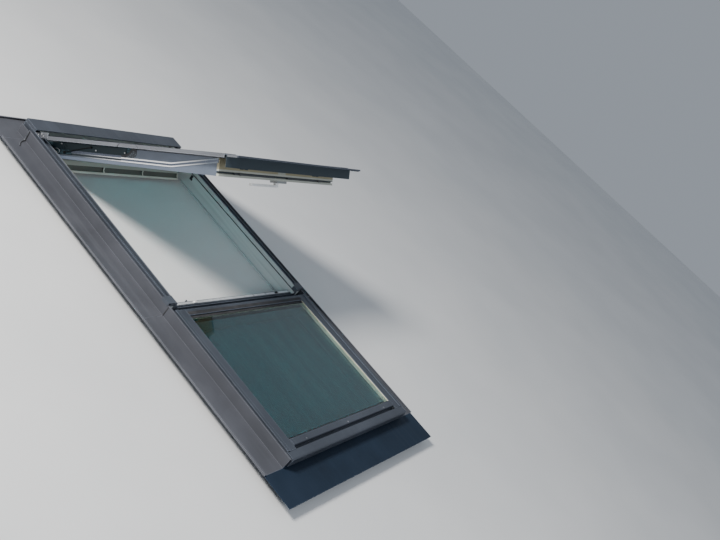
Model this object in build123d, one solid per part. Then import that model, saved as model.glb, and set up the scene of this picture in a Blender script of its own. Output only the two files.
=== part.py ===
from build123d import *
import math
import os

# A pitched-roof window: a top-hung opening sash above a fixed light, in one run of flashing.
# The unit lies in the roof plane: X across the roof, Y up the slope, Z out of the roof.
# Z = 0 is the underside of the timber frames, Y = 0 the middle of the flashing's length.

# Nominal sizes of the two frames and of the flashing round them
FRAME_WIDTH = 1140.0
UPPER_LENGTH = 1400.0
LOWER_LENGTH = 920.0
GLASS_Z = 112.0
APRON_REACH = 180.0
HEAD_REACH = 110.0
OPEN_DEG = 36.5

# Upper frame timber
JAMB_THICK = 44.0
LEDGE_STEP = 8.0
LEDGE_Z = 101.0
LIP_WIDE = 8.0
LIP_Z = 126.0
CHANNEL_Z = 106.0
HEAD_THICK = 45.0
HEAD_TOP_Z = 144.5
SILL_DEEP = 78.0
SILL_STRIP = 22.0
SILL_STRIP_Z = 80.5
SILL_GROOVE = 13.5
SILL_GROOVE_Z = 70.0
SILL_FRONT_Z = 74.5
SILL_FIN_Z = 88.0
LINING_GROOVE = 8.0
LINING_LOW = 8.0

# Lower frame timber and its fixed glass
LOWER_JAMB = 72.0
LOWER_HEAD = 70.0
LOWER_SILL = 98.0
LOWER_TOP_Z = 104.0
LOWER_SILL_Z = 100.0
SIDE_POCKET = 44.0
HEAD_POCKET = 19.0
SILL_POCKET = 72.0
GLASS_GAP = 3.0
PANE = 4.0
UNIT_THICK = 24.0
SEAT_SEAL = 2.0
SPACER_INSET = 12.0
SPACER_WIDE = 14.0
SEAL_WIDE = 12.0
SEAL_THICK = 3.5

# Fixed aluminium covers
SHEET = 1.5
BEND = 1.0
FOLD_GAP = 1.0
COVER_RISE = 8.0
VIEW_INSET = 67.0
VIEW_TOP = 40.0
RIDGE_WIDE = 21.0
RIDGE_RISE = 4.0
WALL_FIT = 2.0
WALL_LOW_Z = 66.0
UPPER_RIDGE = 9.0
BAR_TOP = 12.0
BAR_WIDE = 38.0
BAR_ROUND = 5.0
NOSE_TOP = 7.0
NOSE_OUT = 9.0
NOSE_DEEP = 46.0
NOSE_LOW_Z = 70.0
NOSE_ROUND = 8.0
COVER_FIT = 0.5
HOOD_REACH = 95.0
HOOD_DROP = 6.0
HOOD_LOW_Z = 100.0
CAP_LENGTH = 49.0
CAP_THICK = 2.0
CAP_END = 3.0

# Flashing sheet and what holds it
FLASH = 1.2
FLASH_OUT = 18.0
FLASH_TOP = 5.0
FLASH_RETURN = 7.0
FLANGE_Z = 54.0
FLANGE_WIDE = 142.0
HEM = 8.0
SIDE_JOINT = 30.0
JOINT_SLIT = 1.5
UPPER_END = 68.0
CLIP_WIDE = 30.0
CLIP_LEG = 20.0
CLIP_Z = 58.0
CLIP_INSET = 90.0
BRACKET_THICK = 2.5
BRACKET_TOP_Z = 46.0
BRACKET_REACH = 70.0
BRACKET_WIDE = 50.0
BRACKET_LEG = 34.0
BRACKET_INSET = 150.0
FIXING_OUT = 45.0
FIXING_R = 3.0
SCREW_R = 2.5
SCREW_FIT = 0.1
SCREW_LONG = 25.0
SCREW_HEAD = 3.5
SCREW_FLATS = 9.0
BAR_SCREW_INSET = 113.0

# Sash: s runs down the sash from the hinge line, h out of the roof from it
HINGE_SETBACK = 160.0
SASH_TOP = 105.0
SASH_GAP = 6.0
SASH_END_GAP = 12.0
STILE_WIDE = 68.0
SASH_DEPTH = 85.0
SASH_UNDER = 71.0
REBATE_WIDE = 28.0
PANE_H = -10.0
SASH_SPACER = 14.0
TOP_RAIL = 135.0
TOP_BEVEL_LONG = 15.0
TOP_BEVEL_HIGH = 11.0
BOTTOM_RAIL = 105.0
GLASS_FIT = 2.0
GLASS_TOP_MARGIN = 45.0
GLASS_END_MARGIN = 30.0
SASH_SEAL_IN = 10.0
SASH_SEAL_OUT = 14.0
SASH_SEAL = 2.0
RAIL_TOP_H = 38.0
RAIL_LOW_H = 19.5
RAIL_OUT = 2.0
RAIL_IN = 84.0
RAIL_LIP = 8.0
RAIL_BENDS = [BEND, BEND, 0]
RAIL_START = 48.0
RAIL_JOINT = 3.0
RAIL_OVERHANG = 65.0
TOP_COVER_H = 24.0
TOP_COVER_LOW_H = -20.0
SKIRT_OVERHANG = 78.0
SKIRT_LOW_H = -26.0
DRIP_OVERHANG = 146.0
DRIP_TOP_H = 34.0
DRIP_FOLD = 8.0
TRIM_H = -53.0
TRIM_HIGH = 22.0
TRIM_BASE = 1.5
TRIM_RIDGE_HIGH = 6.0
TRIM_RIDGE = 3.0
TRIM_BEFORE_PIVOT = 22.0
TRIM_RISE = 44.0
TRIM_RISE_LONG = 285.0
TRIM_END_INSET = 5.0

# Arms and pivots
RECESS = 9.0
RECESS_H = -50.0
RECESS_FIT = 3.0
ARM_GAP = 1.0
ARM_THICK = 4.0
ARM_TOP_H = 10.0
ARM_LOW_H = -39.0
ARM_THIN_H = -14.0
ARM_THIN_S = 100.0
EYE_R = 12.0
PIN_R = 4.0
PIN_FIT = 0.4
PIVOT_DOWN = 29.5
PIVOT_LIFT = 0.5
DISC_R = 75.0
DISC_TOP_FIT = 1.0
SLOT_MID_R = 58.0
SLOT_WIDE = 12.0
SLOT_END_DEG = 5.0
SLIDER_DEG = 14.0
SLIDER_END_DEG = 0.5
SLIDER_FIT = 0.5
CARRIER_LONG = 46.0
CARRIER_THICK = 3.0
CARRIER_FOOT = 18.0
LOBE_LOW_H = -45.0
LOBE_START = 50.0
LOBE_END = 170.0
ARM_COVER_THICK = 3.0
ARM_COVER_LOW_H = -22.0
ARM_COVER_TOP_H = 14.0
ARM_COVER_START = 30.0
ARM_COVER_PAST = 8.0
TAB_WIDE = 40.0
TAB_AT = (70.0, 380.0)
HINGE_PLATE = 5.0
HINGE_PLATE_LONG = 100.0
HINGE_PLATE_HIGH = 16.0
ROD_R = 2.0
ROD_LOW = (123.0, -36.0)
ROD_HIGH = (315.0, 2.0)
ROD_EYE_R = 6.0

# Lock, handle, bolts and ventilation flap
CASE_THICK = 12.0
CASE_WIDE = 45.0
CASE_LEFT = 24.0
CASE_RIGHT = 64.0
HANDLE_INSET = 30.0
HUB_R = 13.0
HUB_FIT = 0.3
SPINDLE_R = 4.0
SPINDLE_FIT = 0.3
SPINDLE_LONG = 8.0
LEVER_LONG = 225.0
LEVER_WIDE = 24.0
LEVER_THICK = 12.0
LEVER_DROP = 23.0
BOLT_H = -55.0
BOLT_HIGH = 8.0
BOLT_THICK = 4.0
BOLT_FIT = 0.5
BOLT_SLOT_DEEP = 12.0
BOLT_START = 60.0
BOLT_TAIL = 40.0
BOLT_PIN_INSET = 160.0
BOLT_TRAVEL = 20.0
BOLT_PIN_R = 3.5
BOLT_HEAD_R = 6.5
BOLT_HEAD = 3.0
BOLT_REACH = 9.0
KEEPER_PLATE = 2.0
KEEPER_FIT = 1.5
KEEPER_HIGH = 16.0
KEEPER_END = 4.0
KEEPER_TOP_Z = 86.0
FLAP_END_INSET = 50.0
FLAP_S = 36.0
FLAP_DROP = 7.5
FLAP_THICK = 12.0
FLAP_HIGH = 53.0
FLAP_LIP = 9.0
FLAP_ABOVE = 3.5
FLAP_RIB = 6.0
FLAP_POCKET = 9.0
FLAP_BAYS = 3
FLAP_PIN_R = 2.5
FLAP_PIN_FIT = 0.3
FLAP_PIN_LONG = 9.0
LUG_THICK = 6.0
LUG_LONG = 20.0
LUG_FIT = 1.0

# Places in the roof plane worked out from the sizes above
HALF = FRAME_WIDTH / 2
PART_Y = -((UPPER_LENGTH + HEAD_REACH) - (LOWER_LENGTH + APRON_REACH)) / 2
TOP_Y = PART_Y + UPPER_LENGTH
BOTTOM_Y = PART_Y - LOWER_LENGTH
HINGE_Y = TOP_Y - HINGE_SETBACK
HINGE_Z = GLASS_Z
JAMB_X = HALF - JAMB_THICK
LIP_X = JAMB_X + LEDGE_STEP
SILL_Y = PART_Y + SILL_DEEP
STRIP_Y = SILL_Y - SILL_STRIP
GROOVE_Y = STRIP_Y - SILL_GROOVE
FIN_Y = GROOVE_Y - FOLD_GAP - SHEET
HEAD_Y = TOP_Y - HEAD_THICK
UNIT_Z = GLASS_Z - UNIT_THICK
SEAT_Z = UNIT_Z - SEAT_SEAL
LOWER_IN_X = HALF - LOWER_JAMB
POCKET_X = HALF - SIDE_POCKET
POCKET_TOP_Y = PART_Y - HEAD_POCKET
POCKET_LOW_Y = BOTTOM_Y + SILL_POCKET
FIXED_X = POCKET_X - GLASS_GAP
FIXED_TOP_Y = POCKET_TOP_Y - GLASS_GAP
FIXED_LOW_Y = POCKET_LOW_Y + GLASS_GAP
VIEW_X = HALF - VIEW_INSET
VIEW_TOP_Y = PART_Y - VIEW_TOP
VIEW_LOW_Y = FIXED_LOW_Y + FIXED_X - VIEW_X - GLASS_FIT
COVER_Z = GLASS_Z + COVER_RISE
SEAL_Z = GLASS_Z + SEAL_THICK
WALL_X = HALF + WALL_FIT + SHEET
COVER_X = WALL_X + COVER_FIT
NOSE_Y = BOTTOM_Y - NOSE_OUT
NOSE_BACK_Y = NOSE_Y + NOSE_DEEP
NOSE_Z = GLASS_Z + NOSE_TOP
FLASH_X = HALF + FLASH_OUT
FLASH_TOP_Z = GLASS_Z + FLASH_TOP
FLANGE_TOP_Z = FLANGE_Z + FLASH
FLANGE_X = FLASH_X + FLANGE_WIDE
HOOD_TOP_Z = HEAD_TOP_Z + SHEET
BOLT_Z = HINGE_Z + BOLT_H

# Places on the sash worked out from the sizes above
SASH_LENGTH = UPPER_LENGTH - HINGE_SETBACK - SILL_DEEP - SASH_END_GAP
SASH_X = JAMB_X - SASH_GAP
STILE_IN_X = SASH_X - STILE_WIDE
SASH_TOP_H = SASH_DEPTH - SASH_UNDER
REBATE_X = STILE_IN_X + REBATE_WIDE
REBATE_H = PANE_H - SEAT_SEAL
SASH_GLASS_X = REBATE_X - GLASS_FIT
SASH_GLASS_TOP = -(SASH_TOP - GLASS_TOP_MARGIN)
SASH_GLASS_END = SASH_LENGTH - GLASS_END_MARGIN
SASH_GLASS_H = PANE_H + 2 * PANE + SASH_SPACER
SASH_SEAL_H = SASH_TOP_H + SASH_SEAL
RAIL_X = HALF + RAIL_OUT
RAIL_IN_X = HALF - RAIL_IN
RECESS_X = SASH_X - RECESS
ARM_IN_X = RECESS_X + ARM_GAP
ARM_OUT_X = ARM_IN_X + ARM_THICK
RAIL_END = SASH_LENGTH + RAIL_OVERHANG
SKIRT_S = SASH_LENGTH + SKIRT_OVERHANG
DRIP_S = SASH_LENGTH + DRIP_OVERHANG
PIVOT_S = (SASH_LENGTH - SASH_TOP) / 2 + PIVOT_DOWN
PIVOT_H = RAIL_TOP_H + PIVOT_LIFT
ARM_COVER_END = PIVOT_S + ARM_COVER_PAST
TRIM_START_S = PIVOT_S - TRIM_BEFORE_PIVOT
TRIM_END_S = SASH_LENGTH - TRIM_END_INSET
TRIM_KINK_S = TRIM_END_S - TRIM_RISE_LONG
BOLT_PIN_X = SASH_X - BOLT_PIN_INSET
FLAP_HALF = SASH_X - FLAP_END_INSET
SPINDLE_S = SASH_LENGTH - HANDLE_INSET
FLAP_H = -(SASH_UNDER + FLAP_DROP)


def outline(points, radii=None):
    """Closed outline through 3-D points, with one corner radius for each point."""
    if not radii or not any(radii):
        return Polyline(*points, close=True)
    return FilletPolyline(*points, radius=radii, close=True)


def along_y(points, low, high, radii=None):
    """Solid between two places along Y from a closed outline of (x, z) points."""
    face = make_face(outline([(x, 0, z) for x, z in points], radii))
    return Pos(0, low, 0) * extrude(face, amount=high - low, dir=(0, 1, 0))


def along_x(points, low, high, radii=None):
    """Solid between two places along X from a closed outline of (y, z) points."""
    face = make_face(outline([(0, y, z) for y, z in points], radii))
    return Pos(low, 0, 0) * extrude(face, amount=high - low, dir=(1, 0, 0))


def across_sash(points, low, high, radii=None):
    """Solid between two places along X from a closed outline of (s, h) points on the shut sash."""
    return along_x([(HINGE_Y - s, HINGE_Z + h) for s, h in points], low, high, radii)


def down_sash(points, s_low, s_high, radii=None):
    """Solid between two places down the shut sash from a closed outline of (x, h) points."""
    places = [(x, HINGE_Z + h) for x, h in points]
    return along_y(places, HINGE_Y - s_high, HINGE_Y - s_low, radii)


def block(x0, x1, y0, y1, z0, z1):
    """Plain block between two corners."""
    size = (abs(x1 - x0), abs(y1 - y0), abs(z1 - z0))
    return Pos((x0 + x1) / 2, (y0 + y1) / 2, (z0 + z1) / 2) * Box(*size)


def sash_block(x0, x1, s0, s1, h0, h1):
    """Plain block on the shut sash."""
    return block(x0, x1, HINGE_Y - s1, HINGE_Y - s0, HINGE_Z + h0, HINGE_Z + h1)


def bar_x(radius, x0, x1, y, z):
    """Round bar along X."""
    return Pos((x0 + x1) / 2, y, z) * Rot(0, 90, 0) * Cylinder(radius, abs(x1 - x0))


def bar_y(radius, x, y0, y1, z):
    """Round bar along Y."""
    return Pos(x, (y0 + y1) / 2, z) * Rot(90, 0, 0) * Cylinder(radius, abs(y1 - y0))


def bar_z(radius, x, y, z0, z1):
    """Round bar along Z."""
    return Pos(x, y, (z0 + z1) / 2) * Cylinder(radius, abs(z1 - z0))


def sash_bar(radius, x0, x1, s, h):
    """Round bar along X at a place on the shut sash."""
    return bar_x(radius, x0, x1, HINGE_Y - s, HINGE_Z + h)


def frame_ring(x0, x1, top0, top1, low0, low1, z0, z1):
    """Rectangular ring: outer half width x1, inner x0, with its two ends between the given places."""
    outer = block(-x1, x1, low1, top1, z0, z1)
    inner = block(-x0, x0, low0, top0, z0 - 1, z1 + 1)
    return outer - inner


def folded(points, thickness, bends):
    """Outline and corner radii of a folded sheet that lies on the right-hand side of its skin points."""
    units = []
    for (a0, b0), (a1, b1) in zip(points, points[1:]):
        run = math.hypot(a1 - a0, b1 - b0)
        units.append(((a1 - a0) / run, (b1 - b0) / run))
    before = [units[0]] + units
    after = units + [units[-1]]
    back = []
    for (a, b), (ua, ub), (va, vb) in zip(points, before, after):
        reach = thickness / (1 + ua * va + ub * vb)
        back.append((a + (ub + vb) * reach, b - (ua + va) * reach))
    near = [0]
    far = [0]
    for (ua, ub), (va, vb), bend in zip(units, units[1:], bends):
        right_turn = ua * vb - ub * va < 0
        outside = bend + thickness if bend else 0
        near.append(outside if right_turn else bend)
        far.append(bend if right_turn else outside)
    near.append(0)
    far.append(0)
    return points + back[::-1], near + far[::-1]


def sheet_x(points, low, high, bends=None, thickness=SHEET):
    """Folded sheet running along X from skin points in (y, z), with sharp folds unless bends are given."""
    places, radii = folded(points, thickness, bends or [0] * (len(points) - 2))
    return along_x(places, low, high, radii)


def sheet_y(points, low, high, bends=None, thickness=SHEET):
    """Folded sheet running along Y from skin points in (x, z), with sharp folds unless bends are given."""
    places, radii = folded(points, thickness, bends or [0] * (len(points) - 2))
    return along_y(places, low, high, radii)


def mirrored(shape):
    """The same piece on the other side of the unit."""
    return mirror(shape, about=Plane.YZ)


def both_sides(shapes):
    """One group with every given piece and its mirror image."""
    shapes = list(shapes)
    return Compound(children=shapes + [mirrored(shape) for shape in shapes])


def opened(shape):
    """A piece of the shut sash or of its arms, swung out with the sash about the hinge line."""
    return shape.rotate(Axis((0, HINGE_Y, HINGE_Z), (1, 0, 0)), -OPEN_DEG)


def lining_groove_x(face_x, low, high):
    """Groove for the room lining in the inner face of a jamb."""
    return block(face_x - 1, face_x + LINING_GROOVE, low, high, LINING_LOW, LINING_LOW + LINING_GROOVE)


def lining_groove_y(face_y, inward, half):
    """Groove for the room lining in the inner face of a head or a sill."""
    ends = (face_y - inward, face_y + inward * LINING_GROOVE)
    return block(-half, half, min(ends), max(ends), LINING_LOW, LINING_LOW + LINING_GROOVE)


def bracket_places():
    """Places along the frames where the fixing brackets sit."""
    upper = [PART_Y + BRACKET_INSET, TOP_Y - BRACKET_INSET]
    lower = [BOTTOM_Y + BRACKET_INSET, PART_Y - BRACKET_INSET]
    return lower + upper


def upper_jamb():
    """Right-hand jamb of the upper frame, with its ledge, weather channel and low lower end."""
    section = [
        (JAMB_X, 0),
        (HALF, 0),
        (HALF, CHANNEL_Z),
        (LIP_X + LIP_WIDE, CHANNEL_Z),
        (LIP_X + LIP_WIDE, LIP_Z),
        (LIP_X, LIP_Z),
        (LIP_X, LEDGE_Z),
        (JAMB_X, LEDGE_Z),
    ]
    jamb = along_y(section, PART_Y, TOP_Y)
    jamb -= lining_groove_x(JAMB_X, SILL_Y - LINING_GROOVE, HEAD_Y + LINING_GROOVE)
    jamb -= block(JAMB_X - 1, HALF + 1, PART_Y - 1, FIN_Y, SILL_FRONT_Z, LIP_Z + 1)
    return jamb


def upper_head():
    """Head of the upper frame, stepped at its ends over the jambs' ledges."""
    head = block(-JAMB_X, JAMB_X, HEAD_Y, TOP_Y, 0, LEDGE_Z)
    head += block(-LIP_X, LIP_X, HEAD_Y, TOP_Y, LEDGE_Z, HEAD_TOP_Z)
    return head - lining_groove_y(HEAD_Y, 1, JAMB_X + 1)


def upper_sill():
    """Sill of the upper frame: inner strip, seal groove and low front."""
    section = [
        (PART_Y, 0),
        (SILL_Y, 0),
        (SILL_Y, SILL_STRIP_Z),
        (STRIP_Y, SILL_STRIP_Z),
        (STRIP_Y, SILL_GROOVE_Z),
        (GROOVE_Y, SILL_GROOVE_Z),
        (GROOVE_Y, SILL_FRONT_Z),
        (PART_Y, SILL_FRONT_Z),
    ]
    sill = along_x(section, -JAMB_X, JAMB_X)
    return sill - lining_groove_y(SILL_Y, -1, JAMB_X + 1)


def lower_jamb():
    """Right-hand jamb of the lower frame with its glass pocket."""
    section = [
        (LOWER_IN_X, 0),
        (HALF, 0),
        (HALF, LOWER_TOP_Z),
        (POCKET_X, LOWER_TOP_Z),
        (POCKET_X, SEAT_Z),
        (LOWER_IN_X, SEAT_Z),
    ]
    jamb = along_y(section, BOTTOM_Y, PART_Y)
    groove_low = BOTTOM_Y + LOWER_SILL - LINING_GROOVE
    groove_high = PART_Y - LOWER_HEAD + LINING_GROOVE
    return jamb - lining_groove_x(LOWER_IN_X, groove_low, groove_high)


def lower_head():
    """Head of the lower frame, which carries the glass unit's upper edge."""
    inner_y = PART_Y - LOWER_HEAD
    head = block(-LOWER_IN_X, LOWER_IN_X, inner_y, PART_Y, 0, SEAT_Z)
    head += block(-POCKET_X, POCKET_X, POCKET_TOP_Y, PART_Y, SEAT_Z, LOWER_TOP_Z)
    return head - lining_groove_y(inner_y, 1, LOWER_IN_X + 1)


def lower_sill():
    """Bottom rail of the lower frame, with pilot holes for the glazing bar's screws."""
    inner_y = BOTTOM_Y + LOWER_SILL
    sill = block(-LOWER_IN_X, LOWER_IN_X, BOTTOM_Y, inner_y, 0, SEAT_Z)
    sill += block(-POCKET_X, POCKET_X, BOTTOM_Y, POCKET_LOW_Y, SEAT_Z, LOWER_SILL_Z)
    return sill - lining_groove_y(inner_y, -1, LOWER_IN_X + 1) - bar_screw_holes()


def fixed_pane(low_z):
    """One pane of the fixed glass unit."""
    return block(-FIXED_X, FIXED_X, FIXED_LOW_Y, FIXED_TOP_Y, low_z, low_z + PANE)


def fixed_spacer():
    """Spacer between the fixed panes."""
    outer_x = FIXED_X - SPACER_INSET
    top = FIXED_TOP_Y - SPACER_INSET
    low = FIXED_LOW_Y + SPACER_INSET
    z0 = UNIT_Z + PANE
    z1 = GLASS_Z - PANE
    inner = (top - SPACER_WIDE, low + SPACER_WIDE)
    return frame_ring(outer_x - SPACER_WIDE, outer_x, inner[0], top, inner[1], low, z0, z1)


def fixed_seat_seal():
    """Seal under the fixed glass unit."""
    inner_x = LOWER_IN_X + GLASS_FIT
    inner_top = PART_Y - LOWER_HEAD + GLASS_FIT
    inner_low = BOTTOM_Y + LOWER_SILL - GLASS_FIT
    return frame_ring(inner_x, FIXED_X, inner_top, FIXED_TOP_Y, inner_low, FIXED_LOW_Y, SEAT_Z, UNIT_Z)


def fixed_seal():
    """Seal on top of the fixed glass under the covers."""
    outer_x = VIEW_X + SEAL_WIDE
    top = VIEW_TOP_Y + SEAL_WIDE
    low = VIEW_LOW_Y - SEAL_WIDE
    return frame_ring(VIEW_X, outer_x, VIEW_TOP_Y, top, VIEW_LOW_Y, low, GLASS_Z, SEAL_Z)


def lower_side_cover():
    """Right-hand side cover of the fixed light: a folded sheet with a raised ridge."""
    skin = [
        (VIEW_X, SEAL_Z),
        (VIEW_X, COVER_Z),
        (WALL_X - RIDGE_WIDE, COVER_Z),
        (WALL_X - RIDGE_WIDE, COVER_Z + RIDGE_RISE),
        (WALL_X, COVER_Z + RIDGE_RISE),
        (WALL_X, WALL_LOW_Z),
    ]
    return sheet_y(skin, NOSE_BACK_Y + COVER_FIT, PART_Y)


def lower_top_cover():
    """Cover over the fixed glass unit's upper edge, between the side covers."""
    skin = [
        (VIEW_TOP_Y, SEAL_Z),
        (VIEW_TOP_Y, COVER_Z),
        (PART_Y - SHEET, COVER_Z),
        (PART_Y - SHEET, LOWER_TOP_Z),
    ]
    half = VIEW_X - COVER_FIT
    return sheet_x(skin, -half, half)


def glazing_bar():
    """Rounded bar that clamps the fixed glass unit's lower edge, with its screw holes."""
    top = GLASS_Z + BAR_TOP
    low_y = VIEW_LOW_Y - BAR_WIDE
    heel_y = FIXED_LOW_Y - GLASS_FIT
    section = [
        (VIEW_LOW_Y, SEAL_Z),
        (heel_y, SEAL_Z),
        (heel_y, LOWER_SILL_Z),
        (low_y, LOWER_SILL_Z),
        (low_y, top),
        (VIEW_LOW_Y, top),
    ]
    half = VIEW_X - COVER_FIT
    return along_x(section, -half, half, [0, 0, 0, 0, BAR_ROUND, BAR_ROUND]) - bar_screw_holes()


def bar_screw_spots():
    """Places of the glazing bar's screws."""
    heel_y = FIXED_LOW_Y - GLASS_FIT
    low_y = VIEW_LOW_Y - BAR_WIDE
    pitch = VIEW_X - BAR_SCREW_INSET
    return [(step * pitch, (heel_y + low_y) / 2) for step in (-1, 0, 1)]


def bar_screw_holes():
    """Holes for the glazing bar's screws."""
    top = GLASS_Z + BAR_TOP
    low = top - 2 * SCREW_LONG
    return [bar_z(SCREW_R + SCREW_FIT, x, y, low - SCREW_FIT, top + 1) for x, y in bar_screw_spots()]


def bar_screws():
    """Pan-head screws of the glazing bar."""
    top = GLASS_Z + BAR_TOP
    screws = []
    for x, y in bar_screw_spots():
        screw = bar_z(SCREW_R, x, y, top - 2 * SCREW_LONG, top)
        screws.append(screw + bar_z(SCREW_FLATS / 2, x, y, top, top + SCREW_HEAD / 2))
    return Compound(children=screws)


def front_cover():
    """Rounded nose cover of the fixed light's bottom rail, closed at its ends."""
    skin = [
        (BOTTOM_Y, NOSE_LOW_Z),
        (NOSE_Y, NOSE_LOW_Z),
        (NOSE_Y, NOSE_Z),
        (NOSE_BACK_Y, NOSE_Z),
        (NOSE_BACK_Y, LOWER_TOP_Z + COVER_FIT),
    ]
    cover = sheet_x(skin, -COVER_X, COVER_X, [BEND, NOSE_ROUND, BEND])
    filled = [
        (BOTTOM_Y, NOSE_LOW_Z),
        (NOSE_Y, NOSE_LOW_Z),
        (NOSE_Y, NOSE_Z),
        (NOSE_BACK_Y, NOSE_Z),
        (NOSE_BACK_Y, NOSE_LOW_Z),
    ]
    radii = [0, BEND + SHEET, NOSE_ROUND + SHEET, BEND + SHEET, 0]
    cover += along_x(filled, COVER_X - SHEET, COVER_X, radii)
    cover += along_x(filled, -COVER_X, SHEET - COVER_X, radii)
    half = VIEW_X - COVER_FIT
    flange_y = VIEW_LOW_Y - BAR_WIDE - COVER_FIT
    leg_y = NOSE_BACK_Y - SHEET
    cover += block(-half, half, leg_y, NOSE_BACK_Y, LOWER_SILL_Z, LOWER_TOP_Z + SHEET)
    return cover + block(-half, half, leg_y, flange_y, LOWER_SILL_Z, LOWER_SILL_Z + SHEET)


def upper_side_cover():
    """Right-hand side cover of the upper frame, folded over the lip and through the channel."""
    lip_z = LIP_Z + SHEET
    floor_z = CHANNEL_Z + SHEET
    ridge_x = WALL_X - UPPER_RIDGE
    skin = [
        (LIP_X, lip_z),
        (LIP_X + LIP_WIDE + SHEET, lip_z),
        (LIP_X + LIP_WIDE + SHEET, floor_z),
        (ridge_x, floor_z),
        (ridge_x, lip_z),
        (WALL_X, lip_z),
        (WALL_X, WALL_LOW_Z),
    ]
    return sheet_y(skin, FIN_Y + CAP_END, TOP_Y)


def sill_cover():
    """Cover of the upper frame's sill: front flange, hollow fin, seal groove and inner strip."""
    front_z = SILL_FRONT_Z + SHEET
    groove_z = SILL_GROOVE_Z + SHEET
    strip_z = SILL_STRIP_Z + SHEET
    front_y = PART_Y + WALL_X - HALF
    skin = [
        (front_y, front_z),
        (FIN_Y, front_z),
        (FIN_Y, SILL_FIN_Z),
        (GROOVE_Y + SHEET, SILL_FIN_Z),
        (GROOVE_Y + SHEET, groove_z),
        (STRIP_Y - SHEET, groove_z),
        (STRIP_Y - SHEET, strip_z),
        (SILL_Y + SHEET, strip_z),
        (SILL_Y + SHEET, strip_z - SILL_STRIP),
    ]
    half = JAMB_X - COVER_FIT
    cover = sheet_x(skin, -half, half)
    return cover + block(-HALF, HALF, front_y, FIN_Y - COVER_FIT, SILL_FRONT_Z, front_z)


def corner_cap():
    """Moulded cap that closes the right-hand side cover's lower end and hooks over the flashing."""
    roof_z = LIP_Z + SHEET
    hook_x = FLASH_X + COVER_FIT
    cap = block(LIP_X, hook_x + CAP_THICK, FIN_Y, FIN_Y + CAP_LENGTH, roof_z, roof_z + CAP_THICK)
    hook_low = FLASH_TOP_Z - FLASH_RETURN
    cap += block(hook_x, hook_x + CAP_THICK, FIN_Y, FIN_Y + CAP_LENGTH, hook_low, roof_z + CAP_THICK)
    wall_x = LIP_X + LIP_WIDE + COVER_FIT
    return cap + block(wall_x, WALL_X, FIN_Y, FIN_Y + CAP_END, CHANNEL_Z, roof_z + CAP_THICK)


def hood():
    """Hood over the upper frame's head, with its two end cheeks."""
    back_y = TOP_Y + SHEET
    front_y = back_y - HOOD_REACH
    skin = [
        (front_y, HOOD_TOP_Z - HOOD_DROP),
        (front_y, HOOD_TOP_Z),
        (back_y, HOOD_TOP_Z),
        (back_y, HOOD_LOW_Z),
    ]
    cover = sheet_x(skin, -COVER_X, COVER_X, [BEND, 0])
    low = LIP_Z + 2 * SHEET
    for side in (-1, 1):
        ends = (side * (COVER_X - SHEET), side * COVER_X)
        cover += block(min(ends), max(ends), front_y + SHEET, TOP_Y, low, HEAD_TOP_Z)
    return cover


def side_flashing(low, high):
    """Right-hand side flashing between two places up the slope: upstand, flange and welted edge."""
    skin = [
        (FLASH_X - FLASH_RETURN, FLASH_TOP_Z),
        (FLASH_X, FLASH_TOP_Z),
        (FLASH_X, FLANGE_TOP_Z),
        (FLANGE_X - FLASH, FLANGE_TOP_Z),
        (FLANGE_X - FLASH, FLANGE_TOP_Z + HEM),
        (FLANGE_X - HEM, FLANGE_TOP_Z + HEM),
    ]
    return sheet_y(skin, low, high, thickness=FLASH)


def upper_flashing():
    """Right-hand upper side flashing, ending short of the head."""
    return side_flashing(PART_Y + SIDE_JOINT + JOINT_SLIT, TOP_Y - UPPER_END)


def apron():
    """Apron below the fixed light: upstand on the bottom rail, wide flange and folded lower edge."""
    low_y = BOTTOM_Y - APRON_REACH
    skin = [
        (low_y, FLANGE_TOP_Z - HEM),
        (low_y, FLANGE_TOP_Z),
        (BOTTOM_Y, FLANGE_TOP_Z),
    ]
    sheet = sheet_x(skin, -FLANGE_X, FLANGE_X, thickness=FLASH)
    upstand_top = NOSE_LOW_Z - COVER_FIT
    return sheet + block(-FLASH_X, FLASH_X, BOTTOM_Y - FLASH, BOTTOM_Y, FLANGE_Z, upstand_top)


def head_flashing():
    """Flashing above the upper frame's head, with wings beside the frame."""
    high_y = TOP_Y + HEAD_REACH
    skin = [
        (TOP_Y, FLANGE_TOP_Z),
        (high_y - FLASH, FLANGE_TOP_Z),
        (high_y - FLASH, FLANGE_TOP_Z + HEM),
        (high_y - HEM, FLANGE_TOP_Z + HEM),
    ]
    sheet = sheet_x(skin, -FLANGE_X, FLANGE_X, thickness=FLASH)
    sheet += block(-HALF, HALF, TOP_Y, TOP_Y + FLASH, FLANGE_Z, HOOD_LOW_Z - COVER_FIT)
    wing_low = TOP_Y - UPPER_END + JOINT_SLIT
    wall_top = FLASH_TOP_Z - FLASH_RETURN
    for side in (-1, 1):
        ends = (side * (WALL_X + COVER_FIT), side * FLANGE_X)
        sheet += block(min(ends), max(ends), wing_low, TOP_Y, FLANGE_Z, FLANGE_TOP_Z)
        wall = (side * (FLASH_X - FLASH), side * FLASH_X)
        sheet += block(min(wall), max(wall), wing_low, TOP_Y, FLANGE_Z, wall_top)
    return sheet


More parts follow.
